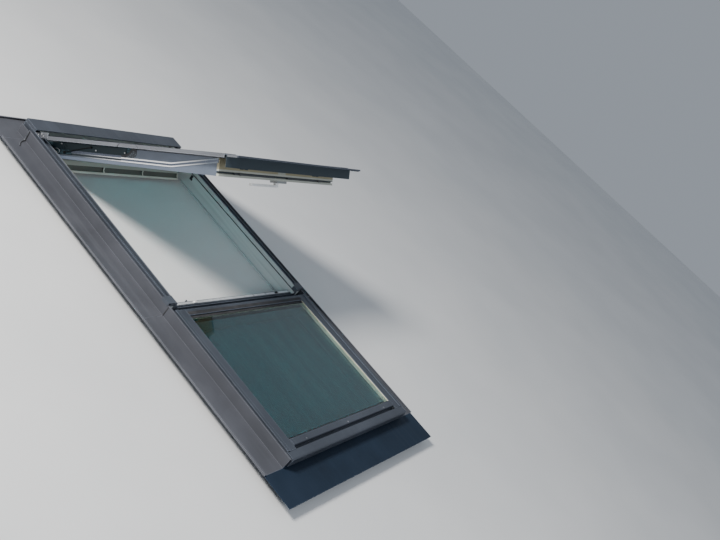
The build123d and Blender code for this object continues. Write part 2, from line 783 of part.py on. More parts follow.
def flashing_clips():
    """Clips that hold the side flashings' upstands off the frames."""
    lower = [BOTTOM_Y + CLIP_INSET, (BOTTOM_Y + PART_Y) / 2, PART_Y - CLIP_INSET]
    upper = [PART_Y + CLIP_INSET, (PART_Y + TOP_Y) / 2, TOP_Y - UPPER_END - 2 * CLIP_INSET]
    clips = []
    for place in lower + upper:
        low = place - CLIP_WIDE / 2
        high = place + CLIP_WIDE / 2
        outer_x = FLASH_X - FLASH
        clip = block(HALF, outer_x, low, high, CLIP_Z, CLIP_Z + SHEET)
        clip += block(HALF, HALF + SHEET, low, high, CLIP_Z - CLIP_LEG, CLIP_Z + SHEET)
        clip += block(outer_x - SHEET, outer_x, low, high, CLIP_Z, WALL_LOW_Z)
        clips.append(clip)
    return both_sides(clips)


def brackets():
    """Fixing brackets on the frames' outer faces, each with a hole for the batten screw."""
    pieces = []
    for place in bracket_places():
        low = place - BRACKET_WIDE / 2
        high = place + BRACKET_WIDE / 2
        foot_z = BRACKET_TOP_Z - BRACKET_THICK
        piece = block(HALF, HALF + BRACKET_REACH, low, high, foot_z, BRACKET_TOP_Z)
        leg_z = BRACKET_TOP_Z - BRACKET_LEG
        piece += block(HALF, HALF + BRACKET_THICK, low, high, leg_z, BRACKET_TOP_Z)
        piece -= bar_z(FIXING_R, HALF + FIXING_OUT, place, foot_z - 1, BRACKET_TOP_Z + 1)
        pieces.append(piece)
    return both_sides(pieces)


def hinge_plates():
    """Hinge plates on the upper jambs, each with its pin."""
    low_z = HINGE_Z - HINGE_PLATE_HIGH / 2
    half = HINGE_PLATE_LONG / 2
    plate_x = LIP_X - HINGE_PLATE
    plate = block(plate_x, LIP_X, HINGE_Y - half, HINGE_Y + half, low_z, low_z + HINGE_PLATE_HIGH)
    return both_sides([plate + bar_x(PIN_R, ARM_IN_X, plate_x, HINGE_Y, HINGE_Z)])


def keepers():
    """Keepers on the upper frame's sill for the two lock bolts."""
    face_y = SILL_Y
    head_y = HINGE_Y - SASH_LENGTH - BOLT_REACH + BOLT_HEAD
    lip_y = head_y + KEEPER_FIT
    start_x = BOLT_PIN_X + BOLT_HEAD_R + KEEPER_FIT
    end_x = BOLT_PIN_X + BOLT_TRAVEL + BOLT_HEAD_R + KEEPER_FIT
    low_z = BOLT_Z - KEEPER_HIGH / 2
    leg_z = SILL_STRIP_Z + SHEET - SILL_STRIP - COVER_FIT
    slot_z = BOLT_PIN_R + KEEPER_FIT
    slot_end = BOLT_PIN_X + BOLT_TRAVEL + slot_z
    wall_y = face_y + SHEET + COVER_FIT
    keeper = block(start_x - KEEPER_HIGH, end_x + KEEPER_END, face_y, face_y + KEEPER_PLATE, low_z, leg_z)
    keeper += block(end_x, end_x + KEEPER_END, face_y, lip_y + KEEPER_PLATE, low_z, leg_z)
    keeper += block(end_x, end_x + KEEPER_END, wall_y, lip_y + KEEPER_PLATE, low_z, KEEPER_TOP_Z)
    lip = block(start_x, end_x + KEEPER_END, lip_y, lip_y + KEEPER_PLATE, low_z, low_z + KEEPER_HIGH)
    slot = (BOLT_Z - slot_z, BOLT_Z + slot_z)
    lip -= block(start_x - 1, slot_end, lip_y - 1, lip_y + KEEPER_PLATE + 1, slot[0], slot[1])
    return both_sides([keeper + lip])


def frame_gaskets():
    """Weather seal in the sill cover's groove and draught seals along the upper jambs' ledges."""
    half = JAMB_X - COVER_FIT
    low = GROOVE_Y + SHEET + BEND
    high = STRIP_Y - SHEET - BEND
    floor_z = SILL_GROOVE_Z + SHEET
    sill_seal = block(-half, half, low, high, floor_z, floor_z + SEAL_THICK)
    low_y = SILL_Y + SHEET
    jamb_seal = block(JAMB_X + COVER_FIT, LIP_X, low_y, HEAD_Y, LEDGE_Z, LEDGE_Z + SEAT_SEAL)
    return Compound(children=[sill_seal, jamb_seal, mirrored(jamb_seal)])


def pivot_sector(radius_in, radius_out, start_deg, end_deg, x0, x1):
    """Part of a ring round the sash pivot; angles run from the sash's lower end towards outside."""
    mid_deg = (start_deg + end_deg) / 2

    def spot(radius, degrees):
        angle = math.radians(degrees)
        s = PIVOT_S + radius * math.cos(angle)
        h = PIVOT_H + radius * math.sin(angle)
        return (0, HINGE_Y - s, HINGE_Z + h)

    edge = [
        ThreePointArc(spot(radius_in, start_deg), spot(radius_in, mid_deg), spot(radius_in, end_deg)),
        Line(spot(radius_in, end_deg), spot(radius_out, end_deg)),
        ThreePointArc(spot(radius_out, end_deg), spot(radius_out, mid_deg), spot(radius_out, start_deg)),
        Line(spot(radius_out, start_deg), spot(radius_in, start_deg)),
    ]
    return Pos(x0, 0, 0) * extrude(make_face(Curve() + edge), amount=x1 - x0, dir=(1, 0, 0))


def arm():
    """Right-hand arm: hinge eye, bar with its lobe, tabs under the rail and slotted pivot plate."""
    x0, x1 = ARM_IN_X, ARM_OUT_X
    piece = sash_block(x0, x1, 0, PIVOT_S, ARM_THIN_H, ARM_TOP_H)
    piece += sash_block(x0, x1, ARM_THIN_S, PIVOT_S, ARM_LOW_H, ARM_TOP_H)
    piece += sash_block(x0, x1, LOBE_START, LOBE_END, LOBE_LOW_H, ARM_TOP_H)
    disc_top = RAIL_TOP_H - SHEET - DISC_TOP_FIT
    disc = sash_bar(DISC_R, x0, x1, PIVOT_S, PIVOT_H)
    piece += disc & sash_block(x0, x1, PIVOT_S - DISC_R, PIVOT_S + DISC_R, -DISC_R, disc_top)
    for start in TAB_AT:
        piece += sash_block(x0, x1, start, start + TAB_WIDE, ARM_TOP_H, RAIL_TOP_H - SHEET)
    piece += sash_bar(EYE_R, x0, x1, 0, 0)
    piece -= sash_bar(PIN_R + PIN_FIT, x0 - 1, x1 + 1, 0, 0)
    half = SLOT_WIDE / 2
    slot_start = SLOT_END_DEG - 180
    return piece - pivot_sector(SLOT_MID_R - half, SLOT_MID_R + half, slot_start, -SLOT_END_DEG, x0 - 1, x1 + 1)


def arm_cover():
    """Right-hand cover plate on the arm's outer face."""
    x1 = ARM_OUT_X + ARM_COVER_THICK
    return sash_block(ARM_OUT_X, x1, ARM_COVER_START, ARM_COVER_END, ARM_COVER_LOW_H, ARM_COVER_TOP_H)


def rail_skin(low_h):
    """Section of the sash's side rail: inner leg, top, outer leg and return lip."""
    skin = [
        (RAIL_IN_X, HINGE_Z + low_h),
        (RAIL_IN_X, HINGE_Z + RAIL_TOP_H),
        (RAIL_X, HINGE_Z + RAIL_TOP_H),
        (RAIL_X, HINGE_Z + RAIL_LOW_H),
        (RAIL_X - RAIL_LIP, HINGE_Z + RAIL_LOW_H),
    ]
    return skin


def arm_rail():
    """Right-hand upper rail, carried by the arm."""
    low_y = HINGE_Y - (PIVOT_S - COVER_FIT)
    return sheet_y(rail_skin(RAIL_LOW_H), low_y, HINGE_Y - RAIL_START, RAIL_BENDS)


def sash_rail():
    """Right-hand lower rail, carried by the sash, with its closed lower end."""
    low_y = HINGE_Y - RAIL_END
    rail = sheet_y(rail_skin(SASH_SEAL_H), low_y, HINGE_Y - PIVOT_S - RAIL_JOINT, RAIL_BENDS)
    high_z = HINGE_Z + RAIL_TOP_H
    low_z = HINGE_Z + RAIL_LOW_H
    section = [(RAIL_IN_X, low_z), (RAIL_IN_X, high_z), (RAIL_X, high_z), (RAIL_X, low_z)]
    outer = BEND + SHEET
    return rail + along_y(section, low_y, low_y + SHEET, [0, outer, outer, 0])


def stay_rod():
    """Right-hand stay rod on the arm, with an eye at each end."""
    x0 = ARM_OUT_X + ARM_COVER_THICK
    mid_x = x0 + ROD_R + COVER_FIT
    end_x = mid_x + ROD_R + COVER_FIT
    (s0, h0), (s1, h1) = ROD_LOW, ROD_HIGH
    start = Vector(mid_x, HINGE_Y - s0, HINGE_Z + h0)
    finish = Vector(mid_x, HINGE_Y - s1, HINGE_Z + h1)
    run = finish - start
    rod = Plane(origin=start, z_dir=run) * extrude(Circle(ROD_R), amount=run.length)
    rod += sash_bar(ROD_EYE_R, ARM_OUT_X, end_x, s0, h0)
    return rod + sash_bar(ROD_EYE_R, x0, end_x, s1, h1)


def top_bevel(half):
    """Wedge to cut from the lower edge of the sash's top end, which dips when the sash opens."""
    slope = TOP_BEVEL_HIGH / TOP_BEVEL_LONG
    section = [
        (-SASH_TOP - 1, -SASH_UNDER - 1),
        (-SASH_TOP + TOP_BEVEL_LONG + 1 / slope, -SASH_UNDER - 1),
        (-SASH_TOP - 1, -SASH_UNDER + TOP_BEVEL_HIGH + slope),
    ]
    return across_sash(section, -half, half)


def stile():
    """Right-hand stile: glass rebate, recess for the arm, round recess for the pivot, flap lug."""
    section = [
        (STILE_IN_X, -SASH_UNDER),
        (SASH_X, -SASH_UNDER),
        (SASH_X, SASH_TOP_H),
        (REBATE_X, SASH_TOP_H),
        (REBATE_X, REBATE_H),
        (STILE_IN_X, REBATE_H),
    ]
    piece = down_sash(section, -SASH_TOP, SASH_LENGTH) - top_bevel(HALF)
    piece -= sash_block(RECESS_X, SASH_X + 1, -SASH_TOP - 1, PIVOT_S, RECESS_H, SASH_TOP_H + 1)
    piece -= sash_bar(DISC_R + RECESS_FIT, RECESS_X, SASH_X + 1, PIVOT_S, PIVOT_H)
    piece -= bolt_groove()
    lug_x = FLAP_HALF + LUG_FIT
    lug_s = FLAP_S - LUG_LONG / 2
    lug_low = FLAP_H - FLAP_DROP + LUG_FIT
    piece += sash_block(lug_x, lug_x + LUG_THICK, lug_s, lug_s + LUG_LONG, lug_low, -SASH_UNDER)
    hole_r = FLAP_PIN_R + FLAP_PIN_FIT
    return piece - sash_bar(hole_r, lug_x - 1, lug_x + LUG_THICK + 1, FLAP_S, FLAP_H)


def top_rail():
    """Top rail of the sash with the glass rebate in its lower edge."""
    edge = SASH_GLASS_TOP - GLASS_FIT
    rail = sash_block(-STILE_IN_X, STILE_IN_X, -SASH_TOP, TOP_RAIL - SASH_TOP, -SASH_UNDER, REBATE_H)
    rail -= top_bevel(HALF)
    return rail + sash_block(-REBATE_X, REBATE_X, -SASH_TOP, edge, REBATE_H, SASH_TOP_H)


def bolt_groove():
    """Groove of the lock bolts across the whole lower end of the sash."""
    low = BOLT_H - BOLT_HIGH / 2 - BOLT_FIT
    high = BOLT_H + BOLT_HIGH / 2 + BOLT_FIT
    return sash_block(-HALF, HALF, SASH_LENGTH - BOLT_SLOT_DEEP, SASH_LENGTH + 1, low, high)


def bottom_rail():
    """Bottom rail of the sash with the glass rebate and the groove of the lock bolts."""
    edge = SASH_GLASS_END + GLASS_FIT
    start = SASH_LENGTH - BOTTOM_RAIL
    rail = sash_block(-STILE_IN_X, STILE_IN_X, start, SASH_LENGTH, -SASH_UNDER, REBATE_H)
    rail += sash_block(-REBATE_X, REBATE_X, edge, SASH_LENGTH, REBATE_H, SASH_TOP_H)
    return rail - bolt_groove()


def sash_pane(low_h):
    """One pane of the sash's glass unit."""
    x = SASH_GLASS_X
    return sash_block(-x, x, SASH_GLASS_TOP, SASH_GLASS_END, low_h, low_h + PANE)


def sash_ring(margin_in, margin_out, h0, h1):
    """Ring that follows the sash glass edge; margins run inwards when they are positive."""
    x0 = SASH_GLASS_X - margin_in
    x1 = SASH_GLASS_X - margin_out
    outer = sash_block(-x1, x1, SASH_GLASS_TOP + margin_out, SASH_GLASS_END - margin_out, h0, h1)
    inner = sash_block(-x0, x0, SASH_GLASS_TOP + margin_in, SASH_GLASS_END - margin_in, h0 - 1, h1 + 1)
    return outer - inner


def sash_seat_seal():
    """Seal under the sash's glass unit, on the rebate."""
    inner_x = STILE_IN_X + GLASS_FIT
    s0 = TOP_RAIL - SASH_TOP - GLASS_FIT
    s1 = SASH_LENGTH - BOTTOM_RAIL + GLASS_FIT
    outer = sash_block(-SASH_GLASS_X, SASH_GLASS_X, SASH_GLASS_TOP, SASH_GLASS_END, REBATE_H, PANE_H)
    return outer - sash_block(-inner_x, inner_x, s0, s1, REBATE_H - 1, PANE_H + 1)


def sash_seal():
    """Seal on the sash glass and on the timber round it."""
    seal = sash_ring(SASH_SEAL_IN, -SASH_SEAL_OUT, SASH_TOP_H, SASH_SEAL_H)
    return seal + sash_ring(SASH_SEAL_IN, 0, SASH_GLASS_H, SASH_TOP_H)


def sash_top_cover():
    """Low cover over the sash's top rail, which passes under the hood."""
    half = RECESS_X - ARM_GAP
    leg_s = SASH_GLASS_TOP - SASH_SEAL_OUT / 2
    front_y = HINGE_Y - leg_s
    back_y = HINGE_Y + SASH_TOP + SHEET
    skin = [
        (front_y, HINGE_Z + SASH_SEAL_H),
        (front_y, HINGE_Z + TOP_COVER_H),
        (back_y, HINGE_Z + TOP_COVER_H),
        (back_y, HINGE_Z + TOP_COVER_LOW_H),
    ]
    return sheet_x(skin, -half, half)


def drip_cover():
    """Cover over the sash's bottom rail, widened below the rails and folded down at its edge."""
    leg_s = SASH_GLASS_END + SASH_SEAL_OUT / 2
    top_z = HINGE_Z + DRIP_TOP_H
    skin = [
        (HINGE_Y - DRIP_S, top_z - DRIP_FOLD),
        (HINGE_Y - DRIP_S, top_z),
        (HINGE_Y - leg_s, top_z),
        (HINGE_Y - leg_s, HINGE_Z + SASH_SEAL_H),
    ]
    cover = sheet_x(skin, -RAIL_X, RAIL_X, [BEND, 0])
    edge = RAIL_IN_X - COVER_FIT
    for side in (-1, 1):
        ends = (side * edge, side * (RAIL_X + 1))
        low = HINGE_Z - 1
        cover -= block(min(ends), max(ends), HINGE_Y - RAIL_END - COVER_FIT, HINGE_Y, low, top_z + 1)
    return cover


def skirt():
    """Weather skirt under the drip cover: foot on the bottom rail, shelf and hanging leg."""
    shelf_z = HINGE_Z + DRIP_TOP_H - SHEET
    foot_s = SASH_GLASS_END + SASH_SEAL_OUT + COVER_FIT
    skin = [
        (HINGE_Y - SKIRT_S, HINGE_Z + SKIRT_LOW_H),
        (HINGE_Y - SKIRT_S, shelf_z),
        (HINGE_Y - SASH_LENGTH + SHEET, shelf_z),
        (HINGE_Y - SASH_LENGTH + SHEET, HINGE_Z + SASH_TOP_H + SHEET),
        (HINGE_Y - foot_s, HINGE_Z + SASH_TOP_H + SHEET),
    ]
    piece = sheet_x(skin, -RAIL_X, RAIL_X)
    edge = RAIL_IN_X - COVER_FIT
    for side in (-1, 1):
        ends = (side * edge, side * (RAIL_X + 1))
        low = HINGE_Z - SASH_UNDER
        piece -= block(min(ends), max(ends), HINGE_Y - RAIL_END - COVER_FIT, HINGE_Y, low, shelf_z + 1)
    return piece


def pivot_slider():
    """Right-hand pivot slider: foot and upright on the stile, with the block that runs in the slot."""
    s0 = PIVOT_S - SLOT_MID_R - CARRIER_LONG / 2
    s1 = s0 + CARRIER_LONG
    top = RAIL_TOP_H - SHEET - DISC_TOP_FIT
    piece = sash_block(RECESS_X - CARRIER_FOOT, RECESS_X, s0, s1, SASH_TOP_H, SASH_TOP_H + CARRIER_THICK)
    piece += sash_block(RECESS_X - CARRIER_THICK, RECESS_X, s0, s1, SASH_TOP_H, top)
    half = SLOT_WIDE / 2 - SLIDER_FIT
    start = SLOT_END_DEG + SLIDER_END_DEG - 180
    low, high = SLOT_MID_R - half, SLOT_MID_R + half
    return piece + pivot_sector(low, high, start, start + SLIDER_DEG, RECESS_X, ARM_OUT_X)


def trim_strip(low_h, high_h, thickness):
    """Strip on the right stile's outer face, rising over the last stretch to its lower end."""
    line = [
        (TRIM_START_S, low_h),
        (TRIM_KINK_S, low_h),
        (TRIM_END_S, low_h + TRIM_RISE),
        (TRIM_END_S, high_h + TRIM_RISE),
        (TRIM_KINK_S, high_h),
        (TRIM_START_S, high_h),
    ]
    return across_sash(line, SASH_X, SASH_X + thickness)


def side_trim():
    """Right-hand bright trim below the arm: a thin band with a ridge along each edge."""
    top = TRIM_H + TRIM_HIGH
    band = trim_strip(TRIM_H, top, TRIM_BASE)
    band += trim_strip(TRIM_H, TRIM_H + TRIM_RIDGE_HIGH, TRIM_RIDGE)
    return band + trim_strip(top - TRIM_RIDGE_HIGH, top, TRIM_RIDGE)


def lock_case():
    """Lock case under the bottom rail, with the bore of the handle's spindle."""
    s0 = SPINDLE_S - CASE_WIDE / 2
    low = -SASH_UNDER - CASE_THICK
    case = sash_block(-CASE_LEFT, CASE_RIGHT, s0, s0 + CASE_WIDE, low, -SASH_UNDER)
    y = HINGE_Y - SPINDLE_S
    bore_z = HINGE_Z + low
    return case - bar_z(SPINDLE_R + SPINDLE_FIT, 0, y, bore_z - 1, bore_z + SPINDLE_LONG + SPINDLE_FIT)


def handle():
    """Lever handle with its hub and spindle."""
    face = HINGE_Z - SASH_UNDER - CASE_THICK
    y = HINGE_Y - SPINDLE_S
    low = face - LEVER_DROP
    piece = bar_z(HUB_R, 0, y, low, face - HUB_FIT)
    piece += bar_z(SPINDLE_R, 0, y, face - HUB_FIT, face + SPINDLE_LONG)
    half = LEVER_WIDE / 2
    lever = block(-LEVER_LONG, 0, y - half, y + half, low, low + LEVER_THICK)
    lever = fillet(lever.edges().filter_by(Axis.Z).sort_by(Axis.X)[:2], half - 1)
    return piece + lever


def lock_bolt():
    """Right-hand lock bolt: flat bar in the bottom rail's groove with a mushroom pin."""
    bar_s = SASH_LENGTH - BOLT_FIT
    end_x = BOLT_PIN_X + BOLT_TAIL
    low, high = BOLT_H - BOLT_HIGH / 2, BOLT_H + BOLT_HIGH / 2
    bolt = sash_block(BOLT_START, end_x, bar_s - BOLT_THICK, bar_s, low, high)
    head_y = HINGE_Y - SASH_LENGTH - BOLT_REACH
    bolt += bar_y(BOLT_PIN_R, BOLT_PIN_X, head_y, HINGE_Y - bar_s, BOLT_Z)
    return bolt + bar_y(BOLT_HEAD_R, BOLT_PIN_X, head_y, head_y + BOLT_HEAD, BOLT_Z)


def vent_flap():
    """Ventilation flap: plate with three pockets and a pivot pin at each end."""
    s0 = FLAP_S - FLAP_THICK / 2
    s1 = FLAP_S + FLAP_THICK / 2
    top = FLAP_H + FLAP_ABOVE
    pocket_top = top - FLAP_LIP
    low = pocket_top - FLAP_HIGH
    flap = sash_block(-FLAP_HALF, FLAP_HALF, s0, s1, low, top)
    bay = (2 * FLAP_HALF - FLAP_RIB) / FLAP_BAYS
    for number in range(FLAP_BAYS):
        x0 = -FLAP_HALF + FLAP_RIB + number * bay
        x1 = x0 + bay - FLAP_RIB
        flap -= sash_block(x0, x1, s1 - FLAP_POCKET, s1 + 1, low + FLAP_RIB, pocket_top)
    for side in (-1, 1):
        ends = (side * FLAP_HALF, side * (FLAP_HALF + FLAP_PIN_LONG))
        flap += sash_bar(FLAP_PIN_R, min(ends), max(ends), FLAP_S, FLAP_H)
    return flap


def frame_pieces():
    """Fixed pieces: timber, fixed light, covers, flashing and fittings."""
    jamb = upper_jamb()
    fixed_jamb = lower_jamb()
    fixed_cover = lower_side_cover()
    side_cover = upper_side_cover()
    return {
        "upper_jamb_right": jamb,
        "upper_jamb_left": mirrored(jamb),
        "upper_head": upper_head(),
        "upper_sill": upper_sill(),
        "lower_jamb_right": fixed_jamb,
        "lower_jamb_left": mirrored(fixed_jamb),
        "lower_head": lower_head(),
        "lower_sill": lower_sill(),
        "fixed_outer_pane": fixed_pane(GLASS_Z - PANE),
        "fixed_inner_pane": fixed_pane(UNIT_Z),
        "fixed_spacer": fixed_spacer(),
        "fixed_seat_seal": fixed_seat_seal(),
        "fixed_seal": fixed_seal(),
        "lower_side_cover_right": fixed_cover,
        "lower_side_cover_left": mirrored(fixed_cover),
        "lower_top_cover": lower_top_cover(),
        "glazing_bar": glazing_bar(),
        "glazing_bar_screws": bar_screws(),
        "front_cover": front_cover(),
        "upper_side_cover_right": side_cover,
        "upper_side_cover_left": mirrored(side_cover),
        "sill_cover": sill_cover(),
        "corner_caps": both_sides([corner_cap()]),
        "hood": hood(),
        "lower_flashings": both_sides([side_flashing(BOTTOM_Y, PART_Y + SIDE_JOINT)]),
        "upper_flashings": both_sides([upper_flashing()]),
        "apron": apron(),
        "head_flashing": head_flashing(),
        "flashing_clips": flashing_clips(),
        "brackets": brackets(),
        "hinge_plates": hinge_plates(),
        "keepers": keepers(),
        "frame_gaskets": frame_gaskets(),
    }


def arm_pieces():
    """Pieces that swing on the hinge pins and carry the sash."""
    right_arm = arm()
    return {
        "arm_right": right_arm,
        "arm_left": mirrored(right_arm),
        "arm_covers": both_sides([arm_cover()]),
        "arm_rails": both_sides([arm_rail()]),
        "stay_rods": both_sides([stay_rod()]),
    }


def sash_pieces():
    """Pieces that turn with the sash on the arms' pivot plates."""
    right_stile = stile()
    bolt = lock_bolt()
    return {
        "stile_right": right_stile,
        "stile_left": mirrored(right_stile),
        "top_rail": top_rail(),
        "bottom_rail": bottom_rail(),
        "sash_outer_pane": sash_pane(SASH_GLASS_H - PANE),
        "sash_inner_pane": sash_pane(PANE_H),
        "sash_spacer": sash_ring(SPACER_INSET + SPACER_WIDE, SPACER_INSET, PANE_H + PANE, SASH_GLASS_H - PANE),
        "sash_seat_seal": sash_seat_seal(),
        "sash_seal": sash_seal(),
        "sash_rails": both_sides([sash_rail()]),
        "sash_top_cover": sash_top_cover(),
        "drip_cover": drip_cover(),
        "skirt": skirt(),
        "pivot_sliders": both_sides([pivot_slider()]),
        "side_trims": both_sides([side_trim()]),
        "lock_case": lock_case(),
        "handle": handle(),
        "bolt_right": bolt,
        "bolt_left": mirrored(bolt),
        "vent_flap": vent_flap(),
    }


def main():
    """Write one STEP file for every piece, with the sash and its arms swung out."""
    os.makedirs("parts", exist_ok=True)
    pieces = frame_pieces()
    for name, shape in {**arm_pieces(), **sash_pieces()}.items():
        pieces[name] = opened(shape)
    for name, shape in pieces.items():
        export_step(shape, f"parts/{name}.step")


main()
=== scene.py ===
"""Looks of a top-hung roof window above a fixed light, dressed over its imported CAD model."""

import math

import bmesh
import bpy
from mathutils import Matrix, Vector


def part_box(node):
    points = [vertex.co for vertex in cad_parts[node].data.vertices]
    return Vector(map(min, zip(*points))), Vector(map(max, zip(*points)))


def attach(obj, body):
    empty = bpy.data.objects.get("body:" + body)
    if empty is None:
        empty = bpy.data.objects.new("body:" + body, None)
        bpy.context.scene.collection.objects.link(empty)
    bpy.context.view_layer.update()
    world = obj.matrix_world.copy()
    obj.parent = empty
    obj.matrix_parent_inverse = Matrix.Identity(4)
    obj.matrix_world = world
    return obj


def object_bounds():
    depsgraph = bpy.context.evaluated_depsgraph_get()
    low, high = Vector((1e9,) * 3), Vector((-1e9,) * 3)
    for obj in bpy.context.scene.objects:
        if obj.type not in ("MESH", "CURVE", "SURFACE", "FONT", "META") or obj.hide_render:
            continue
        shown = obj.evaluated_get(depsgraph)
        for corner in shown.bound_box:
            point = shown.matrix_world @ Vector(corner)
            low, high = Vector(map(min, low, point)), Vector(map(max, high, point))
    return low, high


bl_info = {
    "name": "Roof Window Finishes",
    "version": (1, 0, 0),
    "blender": (4, 5, 0),
    "location": "View3D > Sidebar > Roof Window",
    "description": "Finishes and small fittings of a top-hung roof window above a fixed light",
    "category": "Object",
}

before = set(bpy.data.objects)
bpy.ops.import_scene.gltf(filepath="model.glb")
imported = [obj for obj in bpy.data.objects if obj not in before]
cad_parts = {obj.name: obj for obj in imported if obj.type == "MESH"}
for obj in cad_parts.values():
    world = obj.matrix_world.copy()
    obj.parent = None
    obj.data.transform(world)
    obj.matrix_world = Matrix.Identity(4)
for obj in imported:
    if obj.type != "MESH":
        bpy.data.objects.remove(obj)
CAD_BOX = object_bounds()

# The sash stands open about its hinge line; s runs down the sash and h out of it, in millimetres.
OPEN_ANGLE = math.radians(36.5)
HINGE_Y = 1.035
HINGE_Z = 0.112
MM = 0.001

# Distances across to the stiles' outer faces, their recesses' floors and the flashings' upstands.
STILE_FACE = 0.5185
RECESS_FLOOR = 0.5095
UPSTAND = 0.588

# Where the sash's lower end starts, and its bands: from and to, out of the sash, colour and shade factor.
SASH_END = 1136
# Painted shade: the darkened cream band under the skirt, and the dark band as a groove's shadow; the sage
# bands are lighter.
END_BANDS_WITH_SHADE = (
    (-37.5, 40.0, "cream_paint", 0.8),
    (-46.5, -37.5, "sage", 1.2),
    (-56.0, -46.5, "skirt", 0.8),
    (-90.0, -56.0, "sage", 1.2),
)

# The flap's rims, from and to out of the sash, and the floors of its bays down the sash.
FLAP_TOP_RIM = (-102, -80)
FLAP_LOW_RIM = (-143.5, -130.8)
BAY_FLOOR = 31.5

# Heights of the covers' painted edge highlight and of the seats of the sill's bead, its catches and the hinge
# caps.
COVER_HIGHLIGHT_Z = 0.1170
SILL_BEAD_Z = 0.0820
CATCH_Z = 0.0838
HINGE_CAP_Z = 0.1272

# The photograph's camera: its place, and its right, up and back directions.
CAMERA_PLACE = (-3.749, -1.951, 2.31)
CAMERA_AXES = ((0.48452, -0.63754, 0.59899), (0.04359, 0.70147, 0.71136), (-0.87369, -0.31856, 0.36767))


def on_sash(x, s, h):
    """A place on the open sash, from millimetres across, down and out of it, in metres."""
    y = HINGE_Y + MM * (h * math.sin(OPEN_ANGLE) - s * math.cos(OPEN_ANGLE))
    z = HINGE_Z + MM * (s * math.sin(OPEN_ANGLE) + h * math.cos(OPEN_ANGLE))
    return Vector((MM * x, y, z))


class RoofWindowSizes(bpy.types.PropertyGroup):
    """Sizes of the roof window's small fittings."""

    screw_radius: bpy.props.FloatProperty(
        name="Screw radius", description="Radius of the domed screw heads",
        unit="LENGTH", default=0.0045,
    )
    # The stile beads' brightness is a painted highlight from their finish.
    trim_height: bpy.props.FloatProperty(
        name="Bead height", description="Height of the bright beads on the stiles",
        unit="LENGTH", default=0.005,
    )
    # The sill bead's brightness is a painted highlight from its finish.
    bead_width: bpy.props.FloatProperty(
        name="Bead width", description="Width of the bright bead on the sill",
        unit="LENGTH", default=0.014,
    )
    hex_flats: bpy.props.FloatProperty(
        name="Hexagon", description="Width across flats of the bracket screws",
        unit="LENGTH", default=0.009,
    )


class RoofWindowFinishes(bpy.types.PropertyGroup):
    """Colours of the roof window's finishes."""

    cladding: bpy.props.FloatVectorProperty(
        name="Cladding", description="Lacquer of the aluminium covers",
        subtype="COLOR", default=(0.066, 0.076, 0.096),
    )
    flashing: bpy.props.FloatVectorProperty(
        name="Flashing", description="Lacquer of the flashing sheets",
        subtype="COLOR", default=(0.086, 0.09, 0.106),
    )
    white_paint: bpy.props.FloatVectorProperty(
        name="White paint", description="Paint of the fixed frames",
        subtype="COLOR", default=(0.66, 0.7, 0.7),
    )
    cream_paint: bpy.props.FloatVectorProperty(
        name="Cream paint", description="Lacquer of the sash timber",
        subtype="COLOR", default=(0.43, 0.385, 0.25),
    )
    glass: bpy.props.FloatVectorProperty(
        name="Outer glass", description="Tint of the outer panes",
        subtype="COLOR", default=(0.74, 0.88, 0.87),
    )
    inner_glass: bpy.props.FloatVectorProperty(
        name="Inner glass", description="Tint of the coated inner panes",
        subtype="COLOR", default=(0.12, 0.42, 0.47),
    )
    # The apron's dark navy is its look in shade: a painted shade.
    apron: bpy.props.FloatVectorProperty(
        name="Apron", description="Soft sheet below the fixed light",
        subtype="COLOR", default=(0.014, 0.024, 0.042),
    )
    rail: bpy.props.FloatVectorProperty(
        name="Rail", description="Anodised rails along the sash",
        subtype="COLOR", default=(0.145, 0.153, 0.172),
    )
    # The stiles' sides are white; this blue-grey is a painted shade, their look in shade.
    sash_side_shade: bpy.props.FloatVectorProperty(
        name="Sash side", description="Coated outer faces of the stiles",
        subtype="COLOR", default=(0.1, 0.124, 0.17),
    )
    sage: bpy.props.FloatVectorProperty(
        name="Sage paint", description="Paint of the flap and the sash's lower lip",
        subtype="COLOR", default=(0.4, 0.41, 0.36),
    )
    # The bays' floors are painted darker than the flap, a painted shade in its pockets.
    bay_shade: bpy.props.FloatVectorProperty(
        name="Flap bay", description="Filter cloth in the ventilation flap",
        subtype="COLOR", default=(0.11, 0.118, 0.1),
    )
    skirt: bpy.props.FloatVectorProperty(
        name="Skirt", description="Moulded skirt below the sash",
        subtype="COLOR", default=(0.032, 0.047, 0.059),
    )
    arm_cover: bpy.props.FloatVectorProperty(
        name="Arm cover", description="Moulded covers of the arms",
        subtype="COLOR", default=(0.016, 0.03, 0.037),
    )
    steel: bpy.props.FloatVectorProperty(
        name="Steel", description="Zinc-plated steel",
        subtype="COLOR", default=(0.58, 0.59, 0.6),
    )
    rubber: bpy.props.FloatVectorProperty(
        name="Rubber", description="Seals and gaskets",
        subtype="COLOR", default=(0.02, 0.02, 0.022),
    )
    spacer: bpy.props.FloatVectorProperty(
        name="Spacer", description="Spacer between the panes",
        subtype="COLOR", default=(0.95, 0.91, 0.7),
    )
    handle: bpy.props.FloatVectorProperty(
        name="Handle", description="Moulded handle",
        subtype="COLOR", default=(0.92, 0.92, 0.9),
    )
    lock: bpy.props.FloatVectorProperty(
        name="Lock", description="Lock case",
        subtype="COLOR", default=(0.3, 0.31, 0.32),
    )


def hue(name):
    """One of the finishes' colours as it is set now."""
    return tuple(getattr(bpy.context.scene.roof_window_finishes, name))


def add(tree, kind, inputs=None, **settings):
    """Adds a node, sets it up and joins or fills its inputs."""
    node = tree.nodes.new(kind)
    for name, value in settings.items():
        setattr(node, name, value)
    for name, value in (inputs or {}).items():
        if isinstance(value, bpy.types.NodeSocket):
            tree.links.new(value, node.inputs[name])
        else:
            node.inputs[name].default_value = value
    return node


